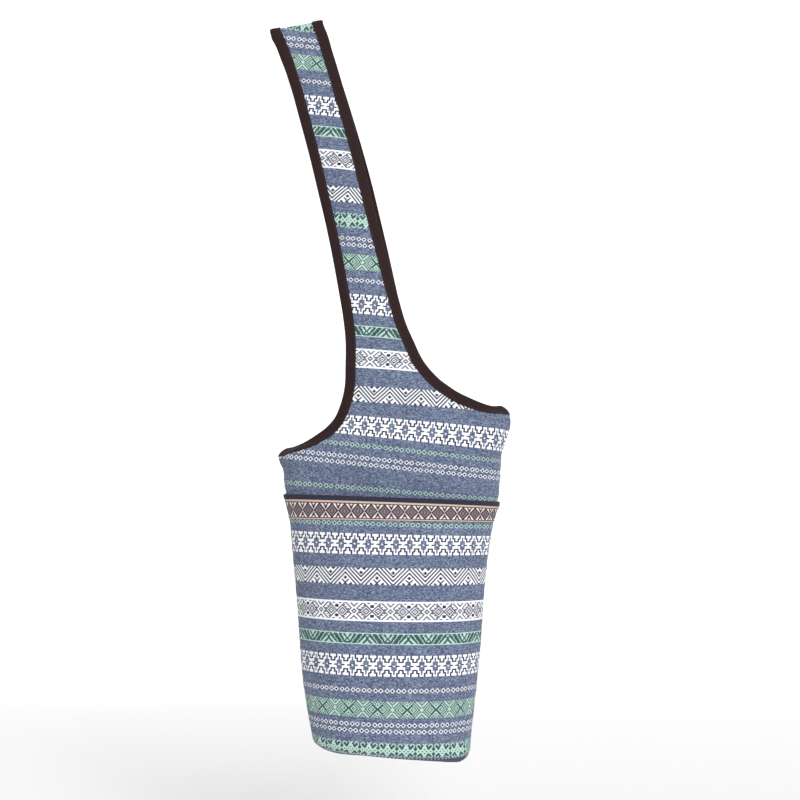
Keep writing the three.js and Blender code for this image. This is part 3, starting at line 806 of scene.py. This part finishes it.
def stitch_row(lines, name, length=2.5, pitch=3.3, radius=0.24):
    """Joined little stitches that dive into the cloth at both ends, along lines of points,
    each line with the direction away from the cloth."""
    points, faces = [], []
    for line, ups in lines:
        run = length_along(line)

        def at(values, where):
            return np.stack([np.interp(where, run, values[:, k]) for k in range(3)], axis=1)

        places = np.arange(pitch / 2, run[-1] - length / 2, pitch)
        centre = at(line, places)
        up = unit(at(ups, places))
        way = unit(at(line, places + 0.5) - centre)
        for c, w, u, n in zip(centre, way, up, np.cross(way, up)):
            first = len(points)
            for along, high, thick in STITCH_RINGS:
                for k in range(STITCH_SIDES):
                    turn = 2 * math.pi * k / STITCH_SIDES
                    around = (n * math.cos(turn) + u * math.sin(turn)) * radius * thick
                    points.append(c + w * along * length + u * high * radius + around)
            end = len(points) - STITCH_SIDES
            for ring in range(first, end, STITCH_SIDES):
                for k in range(STITCH_SIDES):
                    a, b = ring + k, ring + (k + 1) % STITCH_SIDES
                    faces.append((a, a + STITCH_SIDES, b + STITCH_SIDES, b))
            faces.append(tuple(range(first, first + STITCH_SIDES)))
            faces.append(tuple(reversed(range(end, end + STITCH_SIDES))))
    piece = new_mesh(name, points, faces, STITCH_ANGLE)
    register(piece)
    return piece


def seam_line(rim, deep, high):
    """A line along the tape, with the direction away from the cloth."""
    line = section_points(rim, deep, high)
    return line, section_points(rim, deep, high + np.sign(high)) - line


# Pocket trims

EDGING_OUTSIDE = (
    (-POCKET_EDGE, FACE - 0.5), (-POCKET_EDGE - 0.05, FACE - 0.2), (-POCKET_EDGE + 0.25, FACE),
    (-POCKET_EDGE + 0.9, FACE - 0.1), (-2.0, FACE + 0.05), (-0.6, FACE), (0.4, FACE - 0.25),
    (1.0, FACE - 0.8), (1.35, FACE - 1.5),
)
EDGING_INSIDE = (
    (-POCKET_EDGE, LEG), (-1.5, LEG), (GAP, LEG), (GAP, -LEG), (-1.5, -LEG), (-POCKET_EDGE, -LEG),
)
EDGING_COLUMNS = 180


def make_edging():
    s = dense_places(EDGING_COLUMNS)
    section, outer = closed_section(EDGING_OUTSIDE, EDGING_INSIDE)
    rings = []
    for up, high in section:
        t = np.full_like(s, mouth + up)
        low = np.minimum(t, mouth)
        way = thickness(POCKET, low, s)
        rings.append(pocket_point(t, s) + way * (high + front_ripple(low, s))[..., None])
    rings = np.array(rings)
    piece = folded_strip("pocket_edging", rings, outer, True, length_along(rings[0]))
    register(piece, "pocket_binding")
    return piece


RIBBON_TOP = mouth - POCKET_EDGE - GAP
RIBBON_FOOT = RIBBON_TOP - RIBBON_WIDTH
RIBBON_HEM = 0.8
RIBBON_LEVELS, RIBBON_COLUMNS = 23, 200
RIBBON_CROWN = 0.12
RIBBON_CREASE, CREASE_SHARPNESS = 0.1, 3000


def make_ribbon():
    levels = np.linspace(RIBBON_FOOT + RIBBON_HEM, RIBBON_TOP, RIBBON_LEVELS)
    places = dense_places(RIBBON_COLUMNS)
    lift = CLOTH / 2 + GAP + RIBBON / 2

    def form(t, s):
        across = (RIBBON_TOP - t) / RIBBON_WIDTH
        crease = RIBBON_CREASE * np.exp(-((across - 0.5) ** 2) * CREASE_SHARPNESS)
        return front_ripple(t, s) + (RIBBON_CROWN * np.sin(across * math.pi) - crease)

    piece, t, _, grid = cloth_shell("ribbon_band", POCKET, levels, places, form, RIBBON, lift)
    weave_attribute(piece, arc_across(grid, places), t - RIBBON_FOOT)
    register(piece, "pocket_ribbon")
    return piece


# Node trees written as arithmetic


def plug(tree, value, socket):
    if isinstance(value, Wire):
        tree.links.new(value.socket, socket)
    else:
        socket.default_value = value


def calc(tree, operation, *values):
    node = tree.nodes.new("ShaderNodeMath")
    node.operation = operation
    for value, socket in zip(values, node.inputs):
        plug(tree, value, socket)
    return Wire(tree, node.outputs[0])


def operator(operation):
    def apply(wire, *others):
        return calc(wire.tree, operation, wire, *others)

    return apply


class Wire:
    """A value in a node tree. Arithmetic with it makes math nodes."""

    def __init__(self, tree, socket):
        self.tree, self.socket = tree, socket

    def __rsub__(self, other):
        return calc(self.tree, "SUBTRACT", other, self)

    __add__ = operator("ADD")
    __sub__ = operator("SUBTRACT")
    __mul__ = operator("MULTIPLY")
    __truediv__ = operator("DIVIDE")
    __mod__ = operator("FLOORED_MODULO")
    __abs__ = operator("ABSOLUTE")
    __gt__ = operator("GREATER_THAN")
    __lt__ = operator("LESS_THAN")
    floor = operator("FLOOR")


def ramp(tree, value, stops, constant=False):
    node = tree.nodes.new("ShaderNodeValToRGB")
    band = node.color_ramp
    band.interpolation = "CONSTANT" if constant else "LINEAR"
    while len(band.elements) < len(stops):
        band.elements.new(1.0)
    for element, (place, color) in zip(band.elements, stops):
        element.position = place
        element.color = (*color, 1.0)
    plug(tree, value, node.inputs[0])
    return Wire(tree, node.outputs[0])


def mix(tree, share, a, b, blend="MIX"):
    node = tree.nodes.new("ShaderNodeMix")
    node.data_type = "RGBA"
    node.blend_type = blend
    plug(tree, share, node.inputs[0])
    plug(tree, a, node.inputs[6])
    plug(tree, b, node.inputs[7])
    return Wire(tree, node.outputs[2])


def fade(tree, value, start, end, first=0.0, last=1.0):
    """A grey that goes from first to last as the value goes from start to end."""
    return ramp(tree, value, [(start, (first,) * 3), (end, (last,) * 3)])


def noise(tree, vector, scale, detail=2.0, roughness=0.5):
    node = tree.nodes.new("ShaderNodeTexNoise")
    plug(tree, vector, node.inputs["Vector"])
    node.inputs["Scale"].default_value = scale
    node.inputs["Detail"].default_value = detail
    node.inputs["Roughness"].default_value = roughness
    return Wire(tree, node.outputs["Fac"])


def combine(tree, x, y, z=0.0):
    node = tree.nodes.new("ShaderNodeCombineXYZ")
    for value, socket in zip((x, y, z), node.inputs):
        plug(tree, value, socket)
    return Wire(tree, node.outputs[0])


def weave_noise(tree, u, v, along, across, detail=2.0, roughness=0.5, start=0.0):
    """Noise over the weave, by how much it changes per mm along and across."""
    return noise(tree, combine(tree, u * along, v * across, start), 1.0, detail, roughness)


def separate(tree, vector):
    node = tree.nodes.new("ShaderNodeSeparateXYZ")
    plug(tree, vector, node.inputs[0])
    return [Wire(tree, output) for output in node.outputs]


def attribute(tree, name):
    node = tree.nodes.new("ShaderNodeAttribute")
    node.attribute_name = name
    return Wire(tree, node.outputs["Vector"])


def material(name):
    made = bpy.data.materials.new(name)
    made.use_nodes = True
    tree = made.node_tree
    shader = next(node for node in tree.nodes if node.type == "BSDF_PRINCIPLED")
    return made, tree, shader


def coat(tree, shader, base, roughness, specular, sheen):
    tree.links.new(base.socket, shader.inputs["Base Color"])
    shader.inputs["Roughness"].default_value = roughness
    shader.inputs["Specular IOR Level"].default_value = specular
    shader.inputs["Sheen Weight"].default_value = sheen


def relief(tree, shader, height, distance, strength):
    node = tree.nodes.new("ShaderNodeBump")
    node.inputs["Strength"].default_value = strength
    node.inputs["Distance"].default_value = distance * MM
    plug(tree, height, node.inputs["Height"])
    tree.links.new(node.outputs[0], shader.inputs["Normal"])


def color(red, green, blue):
    """A display colour, 0 to 255, as linear light."""
    def linear(c):
        c = c / 255
        return c / 12.92 if c <= 0.04045 else ((c + 0.055) / 1.055) ** 2.4
    return (linear(red), linear(green), linear(blue), 1.0)


# Woven charts. A # is a thread of the pattern's colour, a full stop the dark outline and a
# space the plain ground. Charts with mirrored columns start at a motif's middle and end half
# a repeat away. Charts with mirrored rows start at the band's edge and end at its middle.
FLOWER = (
    "###.####",
    "###.####",
    " ##.####",
    " ##...##",
    " ####.##",
    " ####.##",
    "   ##...",
    "   #####",
    "   #####",
    "#  #####",
    "## ...##",
)
ZIGZAG = (
    ".###.###.###...##",
    "#.###.###.###.###",
    "##.###.###.######",
    "###.###.###.####.",
    ".###.###.###.##..",
    "#.###.###.###.##.",
    "##.###.###.###.##",
    "###.###.###.###.#",
    ".###.###.###.###.",
    "..###.###.###.###",
    ".#####.###.###.##",
    "###.###.###.###.#",
    "##.#####.###.###.",
    "#.#######.###.###",
    ".#####.###.###.##",
    "..###..####.###.#",
)
TRIANGLES = (
    "######################",
    "....##....##....#..###",
    "##...#.....#...##...##",
    "#.....#.....#...##..##",
    "..#....#....#....##..#",
    "..##...#.....#...###..",
    "..###...#.....#...##..",
    "...###...#.....#..#..#",
    "#...###...#....#....##",
    "##...###..#.....#.....",
    "###...###..#.....#....",
    "######################",
)
CROSSING = (
    " ##  ###  ",
    "##. ##.## ",
    "##..#...# ",
    "###....##.",
    "###...##..",
    ".###.###..",
    "#########.",
    "##.###.###",
)

LATTICE_SIZE = (19, 11)
LATTICE_LINES = (
    ((0, 0), (8, 8)), ((3, 0), (6, 3)), ((6, 3), (9, 0)), ((6, 0), (6, 0)), ((7, 5), (12, 0)),
    ((10, 8), (15, 3)), ((15, 3), (13, 1)), ((16, 0), (18, 2)), ((18, 5), (15, 8)),
    ((8, 6), (8, 6)), ((10, 4), (10, 4)), ((12, 2), (12, 2)), ((3, 8), (4, 8)),
    ((0, 4), (1, 4)), ((0, 5), (1, 5)), ((0, 6), (1, 6)),
)


def lattice_chart():
    """White, with dark lines between cells, as columns and rows from the motif's middle."""
    dark = set()
    for (x0, y0), (x1, y1) in LATTICE_LINES:
        steps = max(abs(x1 - x0), abs(y1 - y0), 1)
        for k in range(steps + 1):
            dark.add((round(x0 + (x1 - x0) * k / steps), round(y0 + (y1 - y0) * k / steps)))
    columns, rows = LATTICE_SIZE
    return tuple(
        "".join("." if (x, y) in dark else "#" for x in range(columns))
        for y in reversed(range(rows))
    )


# The motif of crossing lines, in its own units from the crossing in the band's middle.
DIAMOND_SIZE = (22, 12)
DIAMOND_CELL = 15 / 21
CROSS_LINE = 0.36
NEST_PITCH, NEST_GAP, NEST_MIDDLE = 2.7, 1.25, 5.5
DOT_AT, DOT_SIZE, DOT_FIELD = 4, 1.1, 3
SMALL_AT, SMALL_GAP, SMALL_SIZE = 15, 2.2, 3.2
FAR_LINE, FAR_NEST = 17.6, 18.6


def nested(distance):
    return distance % NEST_PITCH < NEST_GAP


def diamond_cell(x, y):
    a, b = x + y, x - y
    ring = max(abs(a - NEST_MIDDLE), abs(b - NEST_MIDDLE))
    small = abs(SMALL_AT - x) + y
    dot = x + abs(y - DOT_AT)
    if abs(b) <= CROSS_LINE:
        gap = True
    elif b < 0:
        gap = dot <= DOT_SIZE or (dot > DOT_FIELD and nested(-b))
    elif small <= SMALL_SIZE:
        gap = small > SMALL_GAP
    elif a > FAR_LINE:
        gap = a > FAR_NEST and nested(a)
    else:
        gap = ring > 1 and nested(ring - 1)
    return "." if gap else "#"


def diamond_chart():
    """The mint lattice: crossing lines, with diamonds inside diamonds between them."""
    columns, rows = DIAMOND_SIZE
    return tuple(
        "".join(diamond_cell(x * DIAMOND_CELL, y * DIAMOND_CELL) for x in range(columns))
        for y in reversed(range(rows))
    )


RING_SIZE = (22, 6)
RING_MIDDLES = (4.5, 14.5)
RING_OUTER, RING_HOLE = 4.6, 2.9
RING_SLANT = 0.84  # above 0.71 this flattens the rings' slanting sides


def ring_chart():
    """Two rings in a row, and a wider gap after the second."""
    columns, rows = RING_SIZE
    art = []
    for y in reversed(range(rows)):
        row = ""
        for x in range(columns):
            slanted = [RING_SLANT * (abs(x - middle) + y) for middle in RING_MIDDLES]
            round_ = [math.hypot(x - middle, y) for middle in RING_MIDDLES]
            out = min(map(max, round_, slanted))
            row += "." if out <= RING_HOLE else "#" if out <= RING_OUTER else " "
        art.append(row)
    return tuple(art)


def marks_of(row, mark):
    return sum(1 << k for k, cell in enumerate(row) if cell == mark)


def chart_group(name, art, repeat, height, mirror_u, mirror_v, marks="#."):
    """A node group that looks a chart up at u and v, and gives the share of each mark."""
    tree = bpy.data.node_groups.new(name, "ShaderNodeTree")
    for label in ("u", "v"):
        tree.interface.new_socket(label, in_out="INPUT", socket_type="NodeSocketFloat")
    for index in range(len(marks)):
        tree.interface.new_socket(f"mark_{index}", in_out="OUTPUT", socket_type="NodeSocketFloat")
    inputs = tree.nodes.new("NodeGroupInput")
    outputs = tree.nodes.new("NodeGroupOutput")
    u, v = (Wire(tree, inputs.outputs[k]) for k in (0, 1))
    columns, rows = len(art[0]), len(art)
    if mirror_u:
        cell = repeat / (2 * (columns - 1))
        column = (abs((u + repeat / 2) % repeat - repeat / 2) * (1 / cell) + 0.5).floor()
    else:
        column = ((u % repeat) * (columns / repeat)).floor()
    if mirror_v:
        cell = height / (2 * rows - 1)
        row = (rows - 1) - (abs(v - height / 2) * (1 / cell) + 0.5).floor()
    else:
        row = ((height - v) * (rows / height)).floor()
    whole = 2.0**columns
    stops = []
    for k, line in enumerate(art):
        shares = [marks_of(line, mark) / whole for mark in marks]
        stops.append((k / rows, (*shares, 0.0, 0.0)[:3]))
    looked = ramp(tree, (row + 0.5) * (1 / rows), stops, constant=True)
    channels = separate(tree, looked)
    power = calc(tree, "POWER", 2.0, column)
    inside = (v > 0.0) * (v < height)
    for index in range(len(marks)):
        bit = ((channels[index] * whole + 0.5) / power).floor() % 2.0
        tree.links.new((bit * inside).socket, outputs.inputs[index])
    return tree


def use_group(tree, group, *values):
    node = tree.nodes.new("ShaderNodeGroup")
    node.node_tree = group
    for value, socket in zip(values, node.inputs):
        plug(tree, value, socket)
    return [Wire(tree, output) for output in node.outputs]


# Each chart: art, repeat along the stripe and height across it in mm, whether its columns and
# rows are mirrored, its colour, and how far its gaps spread along and across the stripe in mm.
CHARTS = {
    "flower": (FLOWER, 16.2, 24.2, True, True, "white", 0.4, 0.25),
    "lattice": (lattice_chart(), 42.6, 23.4, True, True, "white", 0.48, 0.1),
    "zigzag": (ZIGZAG, 37.6, 19.4, True, False, "white", 0.58, 0.0),
    "rings": (ring_chart(), 13.3, 6.6, False, True, "white", 0.0, 0.0),
    "triangles": (TRIANGLES, 47.6, 13.2, True, False, "mint", 0.0, 0.0),
    "diamonds": (diamond_chart(), 34.2, 19.2, True, True, "mint", 0.05, 0.0),
    "crossing": (CROSSING, 21.6, 18.2, True, True, "mint", 0.22, 0.12),
    "mint_rings": (ring_chart(), 13.3, 6.6, False, True, "mint", 0.0, 0.0),
}
charts = {
    name: chart_group(f"{name}_chart", art, repeat, height, mirror_u, mirror_v)
    for name, (art, repeat, height, mirror_u, mirror_v, *_) in CHARTS.items()
}

# Where the bands lie: their middles along the panel's middle, and a shift along the stripe.
LOWER_BANDS = (
    ("flower", 315.4, 0), ("zigzag", 278.2, 0), ("lattice", 237.9, 0), ("triangles", 206.5, 0),
    ("flower", 175.7, 0), ("rings", 147.5, 0), ("diamonds", 125.8, 0), ("rings", 107.7, 0),
    ("rings", 100.2, 2), ("crossing", 76.5, 0),
)
FRONT_BANDS = (
    ("crossing", 977.5, 0), ("rings", 955.0, 0), ("rings", 946.0, 2), ("diamonds", 923.3, 0),
    ("rings", 897.6, 1), ("flower", 865.4, 0), ("triangles", 830.9, 0), ("lattice", 794.5, 0),
    ("zigzag", 748.7, 0), ("crossing", 715.0, 0), ("rings", 691.3, 3), ("rings", 683.2, 1),
    ("diamonds", 661.0, 0), ("rings", 637.3, 0), ("flower", 606.8, 0), ("triangles", 572.7, 0),
    ("lattice", 538.2, 0), ("zigzag", 493.5, 0), ("flower", 453.1, 0), ("mint_rings", 428.5, 0),
    ("rings", 414.3, 0), ("rings", 407.0, 2), ("mint_rings", 378.5, 0), *LOWER_BANDS,
)
POCKET_BANDS = (("mint_rings", 338.8, 0), *LOWER_BANDS)
# The back's bands lie at v itself, and come again after each period.
BACK_PERIOD, BACK_TURNS = 247.0, 6
BACK_BANDS = (
    ("flower", 0, 0), ("rings", 29.1, 0), ("diamonds", 51.8, 0), ("rings", 73.0, 1),
    ("rings", 80.7, 3), ("crossing", 103.3, 0), ("zigzag", 135.5, 0), ("lattice", 179.3, 0),
    ("triangles", 214.0, 0),
)


def by_chart(rows):
    places = {}
    for name, v, shift in rows:
        places.setdefault(name, []).append((v, shift))
    return {name: sorted(found) for name, found in places.items()}


def band_places(bands, weft):
    end = weft.t[-1]
    rows = []
    for name, t, shift in bands:
        v = weft.at_height(t) + max(t - end, 0) * weft.rate(weft.v)
        rows.append((name, float(v), shift))
    return by_chart(rows)


def back_places():
    return by_chart(
        (name, v + turn * BACK_PERIOD, shift)
        for turn in range(BACK_TURNS)
        for name, v, shift in BACK_BANDS
    )


def local_of(u, v, rows, height):
    """u and v inside the nearest of a chart's bands."""
    (first, shift), *others = rows
    local_v = v - (first - height / 2)
    local_u = u + shift
    for (low, low_shift), (high, high_shift) in zip(rows, others):
        passed = v > (low + high) / 2
        local_v = local_v - passed * (high - low)
        if high_shift != low_shift:
            local_u = local_u + passed * (high_shift - low_shift)
    return local_u, local_v


GROUND_A = color(76, 98, 122)
GROUND_B = color(104, 104, 130)
GROUND_C = color(66, 79, 103)
SLUB_LIGHT = color(146, 158, 175)
SLUB_DARK = color(40, 48, 74)
# Painted shade: the colour that darkens the pocket's cloth below the bottom stitches.
PAINTED_SEAM_SHADE = color(50, 56, 76)
LINING = color(150, 156, 168)
LINING_SHADE = color(132, 140, 156)
LINING_FLOATS = color(188, 192, 200)
# Each yarn's colour, its outline's colour, and how much of the ground each of them covers.
YARNS = {
    "white": (color(230, 231, 235), color(36, 38, 58), 0.97, 0.92),
    "mint": (color(174, 203, 189), color(44, 76, 76), 0.95, 0.9),
}
# How strongly the painted shade below the bottom stitches covers the cloth.
PAINTED_SEAM_SHADE_COVER = 0.8
LINING_FLOATS_COVER = 0.35
CLOUDS = ((0.3, (0.93, 0.93, 0.94)), (0.7, (1.03, 1.03, 1.03)))
THREAD_PITCH = 1.16
THREAD_HIGH, FLOAT_HIGH, SLUB_HIGH = 0.25, 0.6, 0.5


def woven_bands(tree, u, v, places):
    """Shares of each yarn and of its outlines, over all bands of a panel."""
    yarn, outline = {}, {}
    for chart, rows in places.items():
        _, _, height, _, _, tone, du, dv = CHARTS[chart]
        local_u, local_v = local_of(u, v, rows, height)
        upper = use_group(tree, charts[chart], local_u + du, local_v + dv)
        lower = use_group(tree, charts[chart], local_u - du, local_v - dv)
        bright = upper[0] * lower[0]
        dark = calc(tree, "MAXIMUM", upper[1], lower[1])
        yarn[tone] = yarn[tone] + bright if tone in yarn else bright
        outline[tone] = outline[tone] + dark if tone in outline else dark
    return yarn, outline


def cloth_material(name, places, foot=None):
    made, tree, shader = material(name)
    u, v, inside = separate(tree, attribute(tree, "weave"))
    wander = weave_noise(tree, u, v, 0.06, 0.6)
    slub = weave_noise(tree, u, v, 0.2, 0.8, 3.0, 0.65)
    speck = weave_noise(tree, u, v, 0.4, 0.75, 2.0, 0.7, 7.3)
    cloud = weave_noise(tree, u, v, 0.02, 0.02)
    base = mix(tree, fade(tree, slub, 0.42, 0.58), GROUND_A, GROUND_B)
    base = mix(tree, fade(tree, wander, 0.5, 0.72, last=0.7), base, GROUND_C)
    base = mix(tree, fade(tree, speck, 0.5, 0.72, last=0.95), base, SLUB_LIGHT)
    base = mix(tree, fade(tree, speck, 0.28, 0.5, first=0.95, last=0.0), base, SLUB_DARK)
    yarn, outline = woven_bands(tree, u, v, places)
    for tone, (_, edge, _, cover) in YARNS.items():
        base = mix(tree, outline[tone] * cover, base, edge)
    for tone, (thread, _, cover, _) in YARNS.items():
        base = mix(tree, yarn[tone] * cover, base, thread)
    # Painted shade on the outer side of the pocket's cloth, below the bottom stitches.
    if foot:
        base = mix(tree, (v < foot) * (inside < 0.5) * PAINTED_SEAM_SHADE_COVER, base, PAINTED_SEAM_SHADE)
    base = mix(tree, 1.0, base, ramp(tree, cloud, CLOUDS), "MULTIPLY")
    inner = mix(tree, fade(tree, slub, 0.3, 0.7), LINING, LINING_SHADE)
    inner = mix(tree, yarn["white"] * LINING_FLOATS_COVER, inner, LINING_FLOATS)
    coat(tree, shader, mix(tree, inside > 0.5, base, inner), roughness=0.88, specular=0.25, sheen=0.12)
    over = calc(tree, "SINE", u * (2 * math.pi / THREAD_PITCH))
    under = calc(tree, "SINE", v * (2 * math.pi / THREAD_PITCH))
    floats = yarn["white"] + yarn["mint"]
    height = over * under * THREAD_HIGH + floats * FLOAT_HIGH + slub * SLUB_HIGH
    relief(tree, shader, height, distance=0.18, strength=0.6)
    return made


TAPE_FLECK = color(78, 56, 54)


def tape_material(name, tone_a, tone_b, rib):
    made, tree, shader = material(name)
    run, girth, _ = separate(tree, attribute(tree, "weave"))
    ribs = calc(tree, "SINE", run * (2 * math.pi / rib))
    fuzz = weave_noise(tree, run, girth, 0.5, 0.7, 4.0, 0.7)
    fleck = weave_noise(tree, run, girth, 1.4, 1.1, 2.0, 0.6)
    base = mix(tree, fade(tree, fuzz, 0.3, 0.7), tone_a, tone_b)
    base = mix(tree, fade(tree, fleck, 0.6, 0.8, last=0.5), base, TAPE_FLECK)
    coat(tree, shader, base, roughness=0.86, specular=0.2, sheen=0.05)
    relief(tree, shader, ribs * 0.4 + fuzz * 1.2, distance=0.22, strength=0.7)
    return made


RIBBON_ART = (
    "+++++++++",
    "+++++++++",
    ".........",
    "##..###..",
    "#..###...",
    "...##...o",
    "..##...o.",
    "..#...o..",
    ".#...o..o",
    "#...o..o.",
    "...o.o..o",
)
# Each yarn of the ribbon: its mark in the art, its share of the colour, and its colour.
RIBBON_YARNS = (
    ("o", 0.85, color(160, 142, 152)), ("+", 0.85, color(200, 174, 162)),
    ("#", 0.9, color(228, 218, 212)),
)
RIBBON_REPEAT = 15.8
RIBBON_GROUND = (color(30, 22, 28), color(70, 56, 60))
RIBBON_BACK = color(70, 60, 66)


def ribbon_material():
    made, tree, shader = material("ribbon_weave")
    u, v, inside = separate(tree, attribute(tree, "weave"))
    marks = "".join(mark for mark, _, _ in RIBBON_YARNS)
    group = chart_group("ribbon_chart", RIBBON_ART, RIBBON_REPEAT, RIBBON_WIDTH, True, True, marks)
    flower, border, leaf = shares = use_group(tree, group, u, v)
    fuzz = weave_noise(tree, u, v, 0.8, 0.8, 3.0, 0.6)
    base = mix(tree, fade(tree, fuzz, 0.35, 0.7), *RIBBON_GROUND)
    for share, (_, cover, tone) in zip(shares, RIBBON_YARNS):
        base = mix(tree, share * cover, base, tone)
    base = mix(tree, inside > 0.5, base, RIBBON_BACK)
    coat(tree, shader, base, roughness=0.7, specular=0.35, sheen=0.1)
    height = leaf + border + flower * 0.7 + fuzz * 0.4
    relief(tree, shader, height, distance=0.2, strength=0.7)
    return made


def thread_material(name, tone):
    made, tree, shader = material(name)
    node = tree.nodes.new("ShaderNodeTexCoord")
    fuzz = noise(tree, Wire(tree, node.outputs["Object"]), 900.0)
    darker = (*(c * 0.7 for c in tone[:3]), 1.0)
    coat(tree, shader, mix(tree, fuzz, tone, darker), roughness=0.6, specular=0.5, sheen=0.0)
    return made


def paint(piece, made):
    piece.data.materials.clear()
    piece.data.materials.append(made)


# Pieces

FRONT_MARKS = [0, *corner_marks(), tube.end, front_end]
BACK_MARKS = [0, *corner_marks(), back_end]
POCKET_MARKS = [0, mouth - ROOM_FROM * POCKET_EDGE, mouth]
# The bottom seam lies under the bag. Its pale stitches show on the pocket, and the pocket's cloth
# below them is darkened with painted shade.
PAINTED_SEAM_SHADE_TOP = 58
SEAM_STITCHES_AT = 58.5

front = make_panel("front_cloth", "front_panel", FRONT, FRONT_MARKS, front_ripple, front_weft)
back = make_panel("back_cloth", "back_panel", BACK, BACK_MARKS, back_ripple, front_weft)
pocket = make_panel(
    "pocket_cloth", "pocket_panel", POCKET, POCKET_MARKS, front_ripple, pocket_weft
)
paint(front, cloth_material("front_weave", band_places(FRONT_BANDS, front_weft)))
paint(back, cloth_material("back_weave", back_places()))
pocket_bands = band_places(POCKET_BANDS, pocket_weft)
pocket_foot = pocket_weft.at_height(PAINTED_SEAM_SHADE_TOP)
paint(pocket, cloth_material("pocket_weave", pocket_bands, pocket_foot))

tape_brown = tape_material("tape_weave", color(30, 16, 17), color(46, 27, 27), 1.1)
thread_brown = thread_material("brown_thread", color(58, 42, 44))
for side_name, side in (("left", -1.0), ("right", 1.0)):
    stitched = []
    for place, surface, ripple in (("front", FRONT, front_ripple), ("back", BACK, back_ripple)):
        node = f"{side_name}_{place}_binding"
        piece, rim = make_tape(f"{side_name}_{place}_tape", node, surface, side, ripple)
        paint(piece, tape_brown)
        for high in (STITCH_HIGH, -STITCH_HIGH):
            stitched.append(seam_line(rim, TAPE_WIDTH - STITCH_INSET, high))
    stitches = stitch_row(stitched, f"{side_name}_tape_stitches")
    paint(stitches, thread_brown)

places = dense_places(160)[6:-6]
level = np.full_like(places, SEAM_STITCHES_AT)
way = thickness(POCKET, level, places)
line = pocket_point(level, places) + way * (CLOTH / 2 + front_ripple(level, places))[..., None]
bottom_stitches = stitch_row(
    [(line, way)], "bottom_stitches", length=2.3, pitch=4.4, radius=0.42
)
paint(bottom_stitches, thread_material("pale_thread", color(214, 216, 222)))

edging = make_edging()
paint(edging, tape_material("edging_weave", color(28, 29, 42), color(52, 52, 68), 0.7))
ribbon = make_ribbon()
paint(ribbon, ribbon_material())

# Floor, lights and camera

FLOOR_DROP = 0.22
FLOOR_NEAR = -9.0
BACKDROP_AT = 3.2
BACKDROP_BEND = 1.5
BEND_STEPS = 24
BACKDROP_TOP = 6.0
SIDE_REACH = 9.0


def floor_and_backdrop():
    """One pale sheet: a level floor that bends up into the backdrop."""
    profile = [(FLOOR_NEAR, 0.0), (BACKDROP_AT - BACKDROP_BEND, 0.0)]
    for k in range(1, BEND_STEPS + 1):
        turn = math.radians(90 * k / BEND_STEPS)
        y = BACKDROP_AT - BACKDROP_BEND + BACKDROP_BEND * math.sin(turn)
        profile.append((y, BACKDROP_BEND * (1 - math.cos(turn))))
    profile.append((BACKDROP_AT, BACKDROP_TOP))
    points = [(x, y, z) for y, z in profile for x in (-SIDE_REACH, SIDE_REACH)]
    faces = [(2 * k, 2 * k + 1, 2 * k + 3, 2 * k + 2) for k in range(len(profile) - 1)]
    mesh = bpy.data.meshes.new("floor")
    mesh.from_pydata(points, [], faces)
    mesh.shade_smooth()
    return bpy.data.objects.new("floor", mesh)


floor = floor_and_backdrop()
floor.location = (0.12, 0, cad_box[0][2] - FLOOR_DROP)
bpy.context.scene.collection.objects.link(floor)
floor_paint, _, floor_shader = material("pale_floor")
floor_shader.inputs["Base Color"].default_value = (0.9, 0.9, 0.905, 1)
floor_shader.inputs["Roughness"].default_value = 0.95
floor_shader.inputs["Specular IOR Level"].default_value = 0.1
floor.data.materials.append(floor_paint)

SKY_STRENGTH = 0.44
SUN_STRENGTH = 2.9
SUN_SPREAD = 32
SUN_WAY = (-0.3, 1.0, -0.42)
CAMERA_AT = (0.1282, -1.654, -0.5779)
LENS, SENSOR = 60.75, 36
# The lens is 1350 of the picture's pixels long, and the camera looks up by 90 of them.
LENS_PIXELS, LOOK_UP_PIXELS = 1350, 90

world = bpy.data.worlds.new("studio")
bpy.context.scene.world = world
world.use_nodes = True
sky = next(node for node in world.node_tree.nodes if node.type == "BACKGROUND")
sky.inputs["Color"].default_value = (1.0, 1.0, 1.0, 1)
sky.inputs["Strength"].default_value = SKY_STRENGTH

sun = bpy.data.lights.new("softbox", "SUN")
sun.energy = SUN_STRENGTH
sun.angle = math.radians(SUN_SPREAD)
lamp = bpy.data.objects.new("softbox", sun)
lamp.rotation_euler = Vector(SUN_WAY).to_track_quat("-Z", "Y").to_euler()
bpy.context.scene.collection.objects.link(lamp)
bpy.context.scene.view_settings.view_transform = "Standard"

camera_data = bpy.data.cameras.new("camera")
camera = bpy.data.objects.new("camera", camera_data)
camera_data.sensor_width = SENSOR
camera_data.lens = LENS
camera.location = CAMERA_AT
look_up = math.atan(LOOK_UP_PIXELS / LENS_PIXELS)
camera.rotation_euler = (math.radians(90) + look_up, 0, 0)
bpy.context.scene.collection.objects.link(camera)
bpy.context.scene.camera = camera
